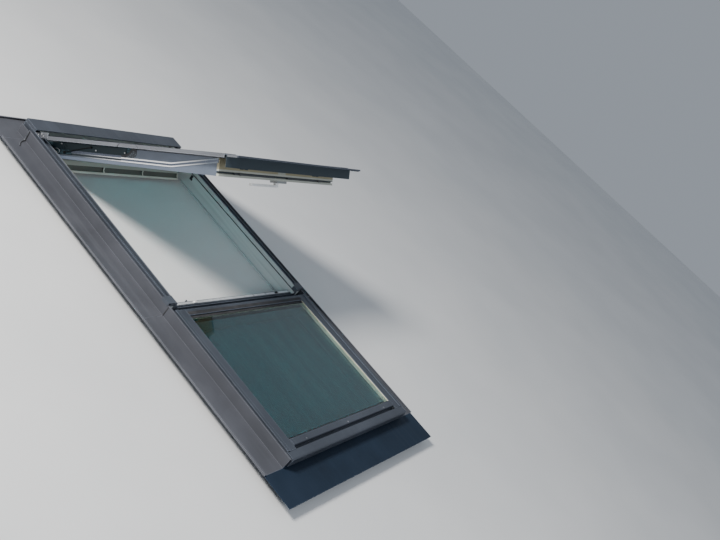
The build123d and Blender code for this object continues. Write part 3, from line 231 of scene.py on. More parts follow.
def new_finish(name):
    """A material with one Principled shader: the material, its tree and the shader."""
    material = bpy.data.materials.new(name)
    material.use_nodes = True
    tree = material.node_tree
    tree.nodes.clear()
    shader = add(tree, "ShaderNodeBsdfPrincipled")
    output = add(tree, "ShaderNodeOutputMaterial")
    tree.links.new(shader.outputs["BSDF"], output.inputs["Surface"])
    return material, tree, shader


def place(tree, stretch=(1, 1, 1)):
    """Object coordinates stretched along the axes."""
    coords = add(tree, "ShaderNodeTexCoord")
    inputs = {"Vector": coords.outputs["Object"], "Scale": stretch}
    return add(tree, "ShaderNodeMapping", inputs).outputs["Vector"]


def noise(tree, where, scale, detail, distortion=0.0):
    """Noise value over the surface."""
    inputs = {"Vector": where, "Scale": scale, "Detail": detail, "Distortion": distortion}
    return add(tree, "ShaderNodeTexNoise", inputs).outputs["Fac"]


def span(tree, value, low, high, to_low, to_high):
    """Value mapped from one range to another and held inside it."""
    inputs = {"Value": value, "From Min": low, "From Max": high, "To Min": to_low, "To Max": to_high}
    return add(tree, "ShaderNodeMapRange", inputs).outputs["Result"]


def tones(tree, value, *stops):
    """Colours along a value, from pairs of a place and a colour."""
    ramp = add(tree, "ShaderNodeValToRGB", {"Fac": value})
    band = ramp.color_ramp
    band.elements[0].position, band.elements[0].color = stops[0][0], (*stops[0][1], 1)
    band.elements[1].position, band.elements[1].color = stops[-1][0], (*stops[-1][1], 1)
    for spot, colour in stops[1:-1]:
        band.elements.new(spot).color = (*colour, 1)
    return ramp.outputs["Color"]


def mixed(tree, share, first, second):
    """Two colours mixed by a share, each of them a socket or a colour."""
    inputs = {0: share}
    for index, value in ((6, first), (7, second)):
        inputs[index] = value if isinstance(value, bpy.types.NodeSocket) else (*value, 1)
    return add(tree, "ShaderNodeMix", inputs, data_type="RGBA").outputs[2]


def edges(tree, radius, strength):
    """How near a point is to a sharp edge, from a rounded normal against the true one."""
    rounded = add(tree, "ShaderNodeBevel", {"Radius": radius}, samples=4).outputs["Normal"]
    true = add(tree, "ShaderNodeNewGeometry").outputs["Normal"]
    dot = add(tree, "ShaderNodeVectorMath", {0: rounded, 1: true}, operation="DOT_PRODUCT")
    return span(tree, dot.outputs["Value"], 0.995, 0.85, 0.0, strength)


def beyond(tree, direction, start, end):
    """How far a point lies past a plane of the row frame, from 0 at start to 1 at end."""
    coords = add(tree, "ShaderNodeTexCoord").outputs["Object"]
    dot = add(tree, "ShaderNodeVectorMath", {0: coords, 1: direction}, operation="DOT_PRODUCT")
    return span(tree, dot.outputs["Value"], start, end, 0.0, 1.0)


def down_sash_share(tree, s0, s1):
    """0 above one place down the open sash and 1 below another, in millimetres."""
    base = -HINGE_Y * math.cos(OPEN_ANGLE) + HINGE_Z * math.sin(OPEN_ANGLE)
    return beyond(tree, (0, -math.cos(OPEN_ANGLE), math.sin(OPEN_ANGLE)), base + MM * s0, base + MM * s1)


def out_of_sash_share(tree, h0, h1):
    """0 below one height out of the open sash and 1 above another, in millimetres."""
    base = HINGE_Y * math.sin(OPEN_ANGLE) + HINGE_Z * math.cos(OPEN_ANGLE)
    return beyond(tree, (0, math.sin(OPEN_ANGLE), math.cos(OPEN_ANGLE)), base + MM * h0, base + MM * h1)


def product(tree, first, second):
    """Two shares multiplied."""
    return add(tree, "ShaderNodeMath", {0: first, 1: second}, operation="MULTIPLY").outputs["Value"]


def inverse(tree, share):
    """What a share leaves of the whole."""
    return add(tree, "ShaderNodeMath", {0: 1.0, 1: share}, operation="SUBTRACT").outputs["Value"]


def sides(tree, near, far):
    """0 nearer the middle than one distance across and 1 past another, on both sides."""
    right = beyond(tree, (1, 0, 0), near, far)
    left = beyond(tree, (-1, 0, 0), near, far)
    return add(tree, "ShaderNodeMath", {0: right, 1: left}, operation="MAXIMUM").outputs["Value"]


def shade(colour, factor):
    """A colour made lighter or darker."""
    return tuple(min(1.0, part * factor) for part in colour)


def coat(tree, shader, colour, rough):
    """Joins a colour and a roughness to the shader."""
    tree.links.new(colour, shader.inputs["Base Color"])
    tree.links.new(rough, shader.inputs["Roughness"])


def bumped(tree, shader, height, distance, strength):
    """Bump on the shader from a height value."""
    bump = add(tree, "ShaderNodeBump", {"Height": height, "Distance": distance, "Strength": strength})
    tree.links.new(bump.outputs["Normal"], shader.inputs["Normal"])


def lacquered_metal(name, colour, rough, metallic=0.35, rain=0.16, edge_wear_and_highlight=0.85, gloss=0.5, faces=()):
    """Lacquered aluminium: tone clouds, rain streaks down the slope, dust, and edges lightened partly as wear
    and partly as a painted highlight.

    Each of the faces is a function that gives the share of another coat there, and that coat's colour.
    """
    material, tree, shader = new_finish(name)
    shader.inputs["Specular IOR Level"].default_value = gloss
    flat = place(tree)
    clouds = noise(tree, flat, 3.5, 5.0, 0.6)
    streaks = noise(tree, place(tree, (34, 1.3, 12)), 1.0, 6.0)
    grain = noise(tree, flat, 420.0, 3.0)
    body = tones(tree, clouds, (0.3, shade(colour, 0.82)), (0.5, colour), (0.72, shade(colour, 1.22)))
    dust = span(tree, streaks, 0.52, 0.74, 0.0, rain)
    dusty = mixed(tree, dust, body, shade(colour, 2.2))
    # Edges lightened partly as wear and partly as a painted highlight.
    worn = mixed(tree, edges(tree, 0.0028, edge_wear_and_highlight), dusty, shade(colour, 4.2))
    for mask, other in faces:
        worn = mixed(tree, mask(tree), worn, other)
    coat(tree, shader, worn, span(tree, streaks, 0.3, 0.75, rough - 0.08, rough + 0.16))
    shader.inputs["Metallic"].default_value = metallic
    bumped(tree, shader, grain, 0.0002, 0.35)
    return material


def painted_timber(name, colour, along, grain_dark=0.86, faces=()):
    """Painted timber: grain showing faintly through along one axis, brush marks and knocked edges.

    The faces are as in lacquered_metal.
    """
    material, tree, shader = new_finish(name)
    stretch = [26, 26, 26]
    stretch[along] = 1.1
    veins = noise(tree, place(tree, stretch), 1.0, 7.0, 1.4)
    fine = [260, 260, 260]
    fine[along] = 5
    brush = noise(tree, place(tree, fine), 1.0, 4.0)
    stains = noise(tree, place(tree), 4.0, 4.0)
    tone = tones(tree, veins, (0.34, shade(colour, grain_dark)), (0.52, colour), (0.7, shade(colour, 1.05)))
    aged = mixed(tree, span(tree, stains, 0.5, 0.8, 0.0, 0.3), tone, shade(colour, 0.84))
    worn = mixed(tree, edges(tree, 0.0018, 0.4), aged, shade(colour, 0.78))
    for mask, other in faces:
        coated = tones(tree, stains, (0.35, shade(other, 0.88)), (0.7, shade(other, 1.1)))
        worn = mixed(tree, mask(tree), worn, coated)
    coat(tree, shader, worn, span(tree, brush, 0.3, 0.7, 0.34, 0.52))
    bumped(tree, shader, brush, 0.0003, 0.4)
    return material


def coated_glass(name, tint, film):
    """Coated glass with a thin uneven film of dust."""
    material, tree, shader = new_finish(name)
    streaks = noise(tree, place(tree, (14, 2.2, 14)), 1.0, 5.0, 0.8)
    tone = tones(tree, streaks, (0.3, shade(tint, 0.94)), (0.7, shade(tint, 1.04)))
    coat(tree, shader, tone, span(tree, streaks, 0.45, 0.8, 0.0, film))
    shader.inputs["Transmission Weight"].default_value = 1.0
    shader.inputs["IOR"].default_value = 1.5
    return material


def rubber(name, colour):
    """Seal rubber with a dry bloom."""
    material, tree, shader = new_finish(name)
    bloom = noise(tree, place(tree), 24.0, 5.0)
    tone = tones(tree, bloom, (0.4, colour), (0.75, shade(colour, 2.4)))
    coat(tree, shader, tone, span(tree, bloom, 0.3, 0.7, 0.62, 0.85))
    bumped(tree, shader, noise(tree, place(tree), 900.0, 2.0), 0.0002, 0.3)
    return material


def moulded(name, colour, rough, grain=700.0, gloss=0.5):
    """Moulded plastic with a fine grain, handling marks and lighter edges."""
    material, tree, shader = new_finish(name)
    shader.inputs["Specular IOR Level"].default_value = gloss
    flat = place(tree)
    marks = noise(tree, flat, 9.0, 6.0, 0.4)
    tone = tones(tree, marks, (0.3, shade(colour, 0.86)), (0.7, shade(colour, 1.14)))
    worn = mixed(tree, edges(tree, 0.001, 0.4), tone, shade(colour, 1.5))
    coat(tree, shader, worn, span(tree, marks, 0.3, 0.7, rough - 0.08, rough + 0.12))
    bumped(tree, shader, noise(tree, flat, grain, 2.0), 0.00015, 0.4)
    return material


def bright_metal(name, colour, rough, stretch):
    """Plated or polished metal with fine rolling lines and dull patches."""
    material, tree, shader = new_finish(name)
    lines = noise(tree, place(tree, stretch), 1.0, 3.0)
    patches = noise(tree, place(tree), 14.0, 5.0)
    tone = tones(tree, patches, (0.32, shade(colour, 0.74)), (0.7, shade(colour, 1.08)))
    coat(tree, shader, tone, span(tree, patches, 0.3, 0.75, rough, rough + 0.22))
    shader.inputs["Metallic"].default_value = 1.0
    bumped(tree, shader, lines, 0.0001, 0.3)
    return material


def worn_steel(name, colour):
    """Steel rubbed and speckled by grease and grit."""
    material, tree, shader = new_finish(name)
    grit = noise(tree, place(tree), 190.0, 6.0, 0.8)
    rubbed = noise(tree, place(tree), 45.0, 4.0)
    base = tones(tree, rubbed, (0.35, shade(colour, 0.6)), (0.7, shade(colour, 1.3)))
    specks = span(tree, grit, 0.54, 0.62, 0.0, 0.9)
    tone = mixed(tree, specks, base, shade(colour, 3.6))
    coat(tree, shader, tone, span(tree, rubbed, 0.3, 0.7, 0.4, 0.7))
    shader.inputs["Metallic"].default_value = 0.5
    shader.inputs["Specular IOR Level"].default_value = 0.3
    bumped(tree, shader, grit, 0.0004, 0.5)
    return material


def trim_aluminium(name, ridge_x):
    """Brushed trim: ridges with a painted highlight over a dull groove, brightest in the middle of the run
    and darker towards both ends.
    """
    material, tree, shader = new_finish(name)
    ridge = sides(tree, ridge_x - 0.0004, ridge_x)
    wobble = noise(tree, place(tree, (3, 7, 7)), 1.0, 4.0)
    # Painted highlight along the run: bright in the middle, darker towards both ends.
    highlight_share = product(tree, down_sash_share(tree, 260, 540), inverse(tree, down_sash_share(tree, 860, 1090)))
    bright = mixed(tree, highlight_share, (0.13, 0.15, 0.18), (0.78, 0.79, 0.82))
    groove = mixed(tree, wobble, (0.05, 0.06, 0.085), (0.11, 0.125, 0.16))
    coat(tree, shader, mixed(tree, ridge, groove, bright), span(tree, wobble, 0.3, 0.7, 0.2, 0.36))
    shader.inputs["Metallic"].default_value = 0.8
    bumped(tree, shader, noise(tree, place(tree, (160, 4, 160)), 1.0, 3.0), 0.0001, 0.3)
    return material


def give(finish, *names):
    """Gives CAD nodes their finish."""
    for name in names:
        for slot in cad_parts[name].material_slots:
            slot.material = finish


def outer_side(tree):
    """The stiles' outer faces, from either side of the unit."""
    return sides(tree, STILE_FACE, STILE_FACE + 0.0005)


def arm_recess_shade(tree):
    """The floors of the recesses that hold the arms, painted dark as shade."""
    return product(tree, sides(tree, RECESS_FLOOR, RECESS_FLOOR + 0.001), inverse(tree, outer_side(tree)))


def sash_band(tree, low, high):
    """1 between two heights out of the open sash."""
    above = out_of_sash_share(tree, low, low + 0.5)
    return product(tree, above, inverse(tree, out_of_sash_share(tree, high - 0.5, high)))


def end_band(low, high):
    """A mask for one band across the sash's lower end."""
    return lambda tree: product(
        tree, sash_band(tree, low, high), down_sash_share(tree, SASH_END, SASH_END + 1)
    )


def flap_bays_shade(tree):
    """The flap's bays with their ribs, from the floors out, painted dark as shade."""
    bays = sash_band(tree, -131, FLAP_TOP_RIM[0])
    return product(tree, bays, down_sash_share(tree, BAY_FLOOR, BAY_FLOOR + 0.5))


def flap_low_highlight(tree):
    """The flap's fins and its lower rim, lightened as a painted highlight."""
    return inverse(tree, out_of_sash_share(tree, FLAP_TOP_RIM[0] - 0.5, FLAP_TOP_RIM[0]))


def cover_edge_highlight(tree):
    """The upper side covers' edge beside the opening, where a painted highlight goes."""
    above = beyond(tree, (0, 0, 1), COVER_HIGHLIGHT_Z, COVER_HIGHLIGHT_Z + 0.0004)
    return product(tree, inverse(tree, sides(tree, 0.5384, 0.5390)), above)


def placed(name, data):
    """An object in the scene from its data."""
    piece = bpy.data.objects.new(name, data)
    bpy.context.scene.collection.objects.link(piece)
    return piece


def mesh_piece(name, sheet, finish, body, smooth=False):
    """A finished piece from a bmesh, riding on a body."""
    bmesh.ops.remove_doubles(sheet, verts=sheet.verts, dist=1e-6)
    bmesh.ops.recalc_face_normals(sheet, faces=sheet.faces)
    mesh = bpy.data.meshes.new(name)
    sheet.to_mesh(mesh)
    sheet.free()
    mesh.materials.append(finish)
    for face in mesh.polygons:
        face.use_smooth = smooth
    piece = placed(name, mesh)
    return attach(piece, body)


def across(side, near, far):
    """Two distances from the middle on one side, the lower first."""
    return sorted((side * near, side * far))


def cuboid(sheet, low, high, bevel, segments, turn=False):
    """A block between two corners with eased edges, turned about the hinge line if asked."""
    low, high = Vector(low), Vector(high)
    made = bmesh.ops.create_cube(sheet, size=1.0)["verts"]
    bmesh.ops.scale(sheet, vec=high - low, verts=made)
    bmesh.ops.translate(sheet, vec=(low + high) / 2, verts=made)
    rims = list({edge for vert in made for edge in vert.link_edges})
    cut = bmesh.ops.bevel(
        sheet, geom=rims, offset=bevel, segments=segments, profile=0.5, affect="EDGES", material=-1
    )
    if turn:
        kept = {vert for vert in made if vert.is_valid}
        turn_out(sheet, list({vert for face in cut["faces"] for vert in face.verts} | kept))


def turn_out(sheet, verts):
    """Turns points of the shut sash out with it about the hinge line."""
    swing = Matrix.Rotation(-OPEN_ANGLE, 3, "X")
    bmesh.ops.rotate(sheet, cent=(0, HINGE_Y, HINGE_Z), matrix=swing, verts=verts)


def shut_place(x, s, h):
    """A place on the shut sash in metres, from millimetres."""
    return Vector((MM * x, HINGE_Y - MM * s, HINGE_Z + MM * h))


def dome(sheet, centre, axis, radius, height):
    """A domed screw head with a sunk round drive, standing on its seat along an axis."""
    profile = [(radius, 0.0), (radius, height * 0.35), (radius * 0.8, height * 0.8), (radius * 0.45, height)]
    profile += [(radius * 0.4, height * 0.55), (0.0, height * 0.5)]
    verts = [sheet.verts.new((r, 0, z)) for r, z in profile]
    rims = [sheet.edges.new(pair) for pair in zip(verts, verts[1:])]
    spun = bmesh.ops.spin(
        sheet, geom=verts + rims, cent=(0, 0, 0), axis=(0, 0, 1), angle=2 * math.pi, steps=20, use_merge=True
    )
    made = set(verts) | {part for part in spun["geom_last"] if isinstance(part, bmesh.types.BMVert)}
    grown = set(made)
    front = list(made)
    while front:
        vert = front.pop()
        for edge in vert.link_edges:
            other = edge.other_vert(vert)
            if other not in grown:
                grown.add(other)
                front.append(other)
    turn = Vector((0, 0, 1)).rotation_difference(Vector(axis)).to_matrix()
    made = [vert for vert in grown if vert.is_valid]
    bmesh.ops.rotate(sheet, cent=(0, 0, 0), matrix=turn, verts=made)
    bmesh.ops.translate(sheet, vec=centre, verts=made)


def side_plate(sheet, x0, x1, corners, bevel=0.0003):
    """A plate on the open sash's side between two distances across, from its corners down and out of it."""
    face = sheet.faces.new([sheet.verts.new(on_sash(x0, s, h)) for s, h in corners])
    grown = bmesh.ops.extrude_face_region(sheet, geom=[face], use_keep_orig=True)["geom"]
    far = [part for part in grown if isinstance(part, bmesh.types.BMVert)]
    bmesh.ops.translate(sheet, vec=(MM * (x1 - x0), 0, 0), verts=far)
    rims = [part for part in grown if isinstance(part, bmesh.types.BMEdge)]
    bmesh.ops.bevel(sheet, geom=rims, offset=bevel, segments=2, profile=0.5, affect="EDGES", material=-1)


def side_arc(s, h, radius, start, end):
    """Points along an arc on the open sash's side, in millimetres and degrees from down the sash."""
    turns = [math.radians(start + (end - start) * step / 12) for step in range(13)]
    return [(s + radius * math.cos(turn), h + radius * math.sin(turn)) for turn in turns]


def wire(name, runs, radius, finish, body):
    """Round wire along smooth runs of points, riding on a body."""
    line = bpy.data.curves.new(name, "CURVE")
    line.dimensions = "3D"
    line.bevel_depth = radius
    line.bevel_resolution = 3
    line.resolution_u = 6
    line.use_fill_caps = True
    for run in runs:
        spline = line.splines.new("NURBS")
        spline.points.add(len(run) - 1)
        for point, spot in zip(spline.points, run):
            point.co = (*spot, 1)
        spline.order_u = 3
        spline.use_endpoint_u = True
    line.materials.append(finish)
    piece = placed(name, line)
    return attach(piece, body)


class ROOFWINDOW_OT_frame_timber(bpy.types.Operator):
    """Paints the timber of the two fixed frames."""

    bl_idname = "roofwindow.frame_timber"
    bl_label = "Frame Timber"

    def execute(self, context):
        white = hue("white_paint")
        jambs = "upper_jamb_right", "upper_jamb_left", "lower_jamb_right", "lower_jamb_left"
        give(painted_timber("jamb_paint", white, 1), *jambs)
        give(painted_timber("rail_paint", white, 0), "upper_head", "upper_sill", "lower_head", "lower_sill")
        return {"FINISHED"}


class ROOFWINDOW_OT_sash_timber(bpy.types.Operator):
    """Lacquers the timber of the opening sash and its ventilation flap."""

    bl_idname = "roofwindow.sash_timber"
    bl_label = "Sash Timber"

    def execute(self, context):
        cream = hue("cream_paint")
        ends = [(end_band(low, high), shade(hue(name), factor)) for low, high, name, factor in END_BANDS_WITH_SHADE]
        # Painted shade: the stiles' outer faces in blue-grey and the arm recesses' floors dark.
        stile_faces = [(outer_side, hue("sash_side_shade")), (arm_recess_shade, hue("skirt")), *ends]
        give(painted_timber("stile_lacquer", cream, 1, 0.8, stile_faces), "stile_right", "stile_left")
        give(painted_timber("sash_rail_lacquer", cream, 0, 0.8, ends), "top_rail", "bottom_rail")
        # Painted shade: the flap's sage darkened, its bays darker still.
        bays = [(flap_bays_shade, hue("bay_shade"))]
        give(painted_timber("flap_lacquer", shade(hue("sage"), 0.75), 0, 0.85, bays), "vent_flap")
        return {"FINISHED"}


class ROOFWINDOW_OT_covers(bpy.types.Operator):
    """Lacquers the aluminium covers of the frames and of the sash."""

    bl_idname = "roofwindow.covers"
    bl_label = "Covers"

    def execute(self, context):
        colour, rail = hue("cladding"), hue("rail")
        lacquer = lacquered_metal("cover_lacquer", colour, 0.38)
        give(lacquer, "lower_side_cover_right", "lower_side_cover_left", "lower_top_cover", "front_cover")
        give(lacquer, "glazing_bar", "sill_cover", "hood", "sash_top_cover", "drip_cover")
        # A light line along the upper covers' inner edge: a painted highlight.
        highlighted_lacquer = lacquered_metal("upper_cover_lacquer", colour, 0.38, faces=[(cover_edge_highlight, shade(rail, 1.9))])
        give(highlighted_lacquer, "upper_side_cover_right", "upper_side_cover_left")
        give(lacquered_metal("rail_anodising", rail, 0.3, 0.6), "sash_rails", "arm_rails")
        return {"FINISHED"}


class ROOFWINDOW_OT_flashings(bpy.types.Operator):
    """Weathers the flashing sheets round the unit."""

    bl_idname = "roofwindow.flashings"
    bl_label = "Flashings"

    def execute(self, context):
        sheet = lacquered_metal("flashing_lacquer", hue("flashing"), 0.5, 0.25, 0.16, 0.45)
        give(sheet, "lower_flashings", "upper_flashings", "head_flashing")
        # The apron sheet is painted dark as shade.
        give(lacquered_metal("apron_sheet", hue("apron"), 0.55, 0.1, 0.07, 0.4, 0.2), "apron")
        return {"FINISHED"}


class ROOFWINDOW_OT_glass(bpy.types.Operator):
    """Glazes the fixed light and the sash, with their spacers, and lays light strips on the fixed light's
    side edges as a painted highlight of the spacer line.
    """

    bl_idname = "roofwindow.glass"
    bl_label = "Glass and Spacers"

    def execute(self, context):
        give(coated_glass("outer_glass", hue("glass"), 0.03), "fixed_outer_pane", "sash_outer_pane")
        give(coated_glass("inner_glass", hue("inner_glass"), 0.01), "fixed_inner_pane", "sash_inner_pane")
        give(moulded("spacer_metal", hue("spacer"), 0.35, 500.0), "fixed_spacer", "sash_spacer")
        # Light strips along the fixed light's side edges: a painted highlight of the spacer line.
        beads = bmesh.new()
        low_y, high_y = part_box("glazing_bar")[1][1] + 0.001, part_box("lower_top_cover")[0][1] - 0.001
        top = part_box("fixed_outer_pane")[1][2]
        cover_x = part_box("lower_side_cover_right")[0][0]
        for side in (-1, 1):
            x0, x1 = across(side, cover_x - 0.0005, cover_x - 0.0038)
            cuboid(beads, (x0, low_y, top), (x1, high_y, top + 0.0032), 0.0008, 3)
        finish = bpy.data.materials["spacer_metal"]
        mesh_piece("glass_edge_beads", beads, finish, "frame")
        return {"FINISHED"}


class ROOFWINDOW_OT_seals(bpy.types.Operator):
    """Gives the seals and gaskets their rubber and the skirt and caps their mouldings."""

    bl_idname = "roofwindow.seals"
    bl_label = "Seals and Mouldings"

    def execute(self, context):
        seal = rubber("seal_rubber", hue("rubber"))
        give(seal, "fixed_seat_seal", "fixed_seal", "frame_gaskets", "sash_seat_seal", "sash_seal")
        give(moulded("skirt_moulding", hue("skirt"), 0.55, 300.0), "skirt")
        give(moulded("cap_moulding", hue("cladding"), 0.5), "corner_caps")
        give(moulded("arm_cover_moulding", hue("arm_cover"), 0.35, 700.0, 0.15), "arm_covers")
        return {"FINISHED"}


class ROOFWINDOW_OT_ironmongery(bpy.types.Operator):
    """Finishes the steel, the lock and the handle."""

    bl_idname = "roofwindow.ironmongery"
    bl_label = "Ironmongery"

    def execute(self, context):
        steel = hue("steel")
        give(bright_metal("plated_steel", steel, 0.32, (90, 6, 90)), "hinge_plates", "keepers")
        arm = worn_steel("arm_lacquer", shade(hue("arm_cover"), 1.6))
        give(arm, "arm_right", "arm_left", "pivot_sliders")
        give(bright_metal("rod_steel", shade(steel, 0.05), 0.45, (200, 200, 200)), "stay_rods")
        give(bright_metal("bolt_steel", shade(steel, 0.28), 0.4, (6, 90, 90)), "bolt_right", "bolt_left")
        zinc = bright_metal("galvanised_steel", shade(steel, 0.8), 0.45, (30, 30, 30))
        give(zinc, "brackets", "flashing_clips")
        give(bright_metal("screw_steel", shade(steel, 0.95), 0.3, (300, 300, 300)), "glazing_bar_screws")
        # The side trims' brightness is a painted highlight.
        give(trim_aluminium("trim_aluminium", 0.5222), "side_trims")
        give(moulded("lock_moulding", hue("lock"), 0.45), "lock_case")
        give(moulded("handle_moulding", hue("handle"), 0.3), "handle")
        return {"FINISHED"}


class ROOFWINDOW_OT_arm_screws(bpy.types.Operator):
    """Sets the domed screws in the arm covers."""

    bl_idname = "roofwindow.arm_screws"
    bl_label = "Arm Screws"

    def execute(self, context):
        radius = context.scene.roof_window_sizes.screw_radius
        face = 519.0
        heads = bmesh.new()
        for side in (-1, 1):
            for s, h in ((100, 7), (349, -11), (549, -8)):
                dome(heads, on_sash(side * face, s, h), (side, 0, 0), radius, radius * 0.5)
        steel = bpy.data.materials["screw_steel"]
        mesh_piece("arm_cover_screws", heads, steel, "arms", True)
        return {"FINISHED"}


class ROOFWINDOW_OT_rail_ends(bpy.types.Operator):
    """Adds the rails' light end pieces beside the skirt and their screwed plates at the hinges."""

    bl_idname = "roofwindow.rail_ends"
    bl_label = "Rail Ends"

    def execute(self, context):
        root, face = 566.0, 573.2
        ends = bmesh.new()
        for side in (-1, 1):
            x0, x1 = across(side, root, 573.5)
            low, high = shut_place(x0, 1290, 22), shut_place(x1, 1231, 35)
            cuboid(ends, low, high, 0.003, 3, turn=True)
        finish = bpy.data.materials["rail_anodising"]
        mesh_piece("rail_end_pieces", ends, finish, "sash")
        plates, heads, seals = bmesh.new(), bmesh.new(), bmesh.new()
        for side in (-1, 1):
            x0, x1 = across(side, root, face)
            cuboid(plates, shut_place(x0, 54, 24), shut_place(x1, -2, 55), 0.002, 3, turn=True)
            for s, h in ((7, 47), (19, 36)):
                dome(heads, on_sash(side * face, s, h), (side, 0, 0), 0.0036, 0.0016)
            joint = ((543, 19.8), (549, 19.8), (563, 37.5), (557, 37.5))
            side_plate(seals, side * 571.9, side * 572.6, joint, 0.0002)
        mesh_piece("rail_hinge_plates", plates, finish, "arms")
        steel = bpy.data.materials["screw_steel"]
        mesh_piece("rail_hinge_screws", heads, steel, "arms", True)
        mesh_piece("rail_joint_seals", seals, bpy.data.materials["seal_rubber"], "arms")
        return {"FINISHED"}


class ROOFWINDOW_OT_pivot_guards(bpy.types.Operator):
    """Adds the worn guard plates on the stiles round the pivots, with their gaskets and stops."""

    bl_idname = "roofwindow.pivot_guards"
    bl_label = "Pivot Guards"

    def execute(self, context):
        guards, gaskets = bmesh.new(), bmesh.new()
        centre, top = (535, 51), 19
        rim = [(631, top), (631, -6), (628, -17), (621, -25), (611, -29.5), (596, -31), (562, -30.6)]
        rim += side_arc(*centre, 74.5, -67.5, -25.5)
        band = side_arc(*centre, 79, -94, -24) + side_arc(*centre, 70, -24, -94)
        for side in (-1, 1):
            face, lip = side * 520.0, side * 520.7
            side_plate(guards, face, lip, rim)
            side_plate(gaskets, side * 519.3, side * 521.4, band)
            for start, end, low in ((609, 616, 5), (622, 630.5, 2)):
                corners = ((start, low), (end, low), (end, top), (start, top))
                side_plate(gaskets, lip, side * 521.6, corners)
        worn = worn_steel("guard_steel", (0.06, 0.067, 0.076))
        mesh_piece("pivot_guards", guards, worn, "sash")
        mesh_piece("pivot_gaskets", gaskets, bpy.data.materials["seal_rubber"], "sash")
        return {"FINISHED"}


class ROOFWINDOW_OT_hinge_links(bpy.types.Operator):
    """Bends the light wire links at the arms' hinges."""

    bl_idname = "roofwindow.hinge_links"
    bl_label = "Hinge Links"

    def execute(self, context):
        bends = ((4, -32), (28, -24), (54, -19.5), (78, -20), (91, -29), (86, -41), (72, -43), (66, -36))
        runs = [[on_sash(side * 521.4, s, h) for s, h in bends] for side in (-1, 1)]
        wire("hinge_links", runs, 0.0014, bpy.data.materials["screw_steel"], "arms")
        return {"FINISHED"}


class ROOFWINDOW_OT_flap_rims(bpy.types.Operator):
    """Adds the flap's rims and curved fins in front of its bays, the fins and lower rim lightened as a
    painted highlight.
    """

    bl_idname = "roofwindow.flap_rims"
    bl_label = "Flap Rims"

    def execute(self, context):
        sage = hue("sage")
        rims = bmesh.new()
        for low, high in (FLAP_TOP_RIM, FLAP_LOW_RIM):
            cuboid(rims, shut_place(-468, 43.2, low), shut_place(468, 41.4, high), 0.0006, 3, turn=True)
        for x in (-155.7, 155.7, 465.0):
            self.fin(rims, x)
        # Painted highlight: the fins and the lower rim in a lighter sage.
        paint = painted_timber("flap_rim_paint", sage, 0, 0.85, [(flap_low_highlight, shade(sage, 1.5))])
        mesh_piece("flap_rims", rims, paint, "vent")
        return {"FINISHED"}

    def fin(self, sheet, x):
        """A fin bowed to the left between the rims."""
        radius, half = 0.0195, math.radians(50)
        centre = shut_place(x, 42, -116.5) + Vector((radius, 0, 0))
        corners = []
        for shift, s in ((-0.004, 41.6), (0.004, 41.6), (0.004, 43.4), (-0.004, 43.4)):
            reach = radius - shift
            y = shut_place(0, s, 0).y
            corner = (centre.x - reach * math.cos(half), y, centre.z + reach * math.sin(half))
            corners.append(sheet.verts.new(corner))
        rims = [sheet.edges.new(pair) for pair in zip(corners, corners[1:] + corners[:1])]
        before = set(sheet.verts) - set(corners)
        bmesh.ops.spin(sheet, geom=corners + rims, cent=centre, axis=(0, -1, 0), angle=2 * half, steps=10)
        made = [vert for vert in sheet.verts if vert not in before]
        open_rims = [edge for edge in {edge for vert in made for edge in vert.link_edges} if edge.is_boundary]
        bmesh.ops.holes_fill(sheet, edges=open_rims, sides=4)
        turn_out(sheet, made)


class ROOFWINDOW_OT_arm_flanges(bpy.types.Operator):
    """Adds the flanges along the arms' lower edges, made bright by a painted highlight."""

    bl_idname = "roofwindow.arm_flanges"
    bl_label = "Arm Flanges"

    def execute(self, context):
        flanges = bmesh.new()
        for side in (-1, 1):
            for outer, low, high in ((517.2, -38.6, -22.4), (518.6, -38.8, -34.0)):
                x0, x1 = across(side, 515.9, outer)
                cuboid(flanges, shut_place(x0, 527, low), shut_place(x1, 172, high), 0.0006, 2, turn=True)
        finish = trim_aluminium("flange_aluminium", 0.5182)
        mesh_piece("arm_flanges", flanges, finish, "arms")
        return {"FINISHED"}


class ROOFWINDOW_OT_stile_beads(bpy.types.Operator):
    """Carries the trims' lower ridge up the stiles, under the arms, with its painted highlight."""

    bl_idname = "roofwindow.stile_beads"
    bl_label = "Stile Beads"

    def execute(self, context):
        height = context.scene.roof_window_sizes.trim_height / MM
        foot = -53
        beads = bmesh.new()
        for side in (-1, 1):
            x0, x1 = across(side, 519.9, 522.2)
            cuboid(beads, shut_place(x0, 531, foot), shut_place(x1, 96, foot + height), 0.001, 3, turn=True)
        mesh_piece("stile_beads", beads, trim_aluminium("bead_aluminium", 0.5215), "sash")
        return {"FINISHED"}


class ROOFWINDOW_OT_skirt_clips(bpy.types.Operator):
    """Sets the skirt's clips and its middle stop on the bottom rail."""

    bl_idname = "roofwindow.skirt_clips"
    bl_label = "Skirt Clips"

    def execute(self, context):
        clips, stop = bmesh.new(), bmesh.new()
        front, seat = 1151.6, 1149.9
        for x in (-346, -310, 310, 346):
            low, high = shut_place(x - 15, front, -30.5), shut_place(x + 15, seat, -19.0)
            cuboid(clips, low, high, 0.0006, 2, turn=True)
        cuboid(stop, shut_place(-34, front, -37), shut_place(34, seat, -24), 0.0006, 2, turn=True)
        mesh_piece("skirt_clips", clips, bpy.data.materials["skirt_moulding"], "sash")
        finish = bpy.data.materials["flap_rim_paint"]
        mesh_piece("skirt_stop", stop, finish, "sash")
        return {"FINISHED"}


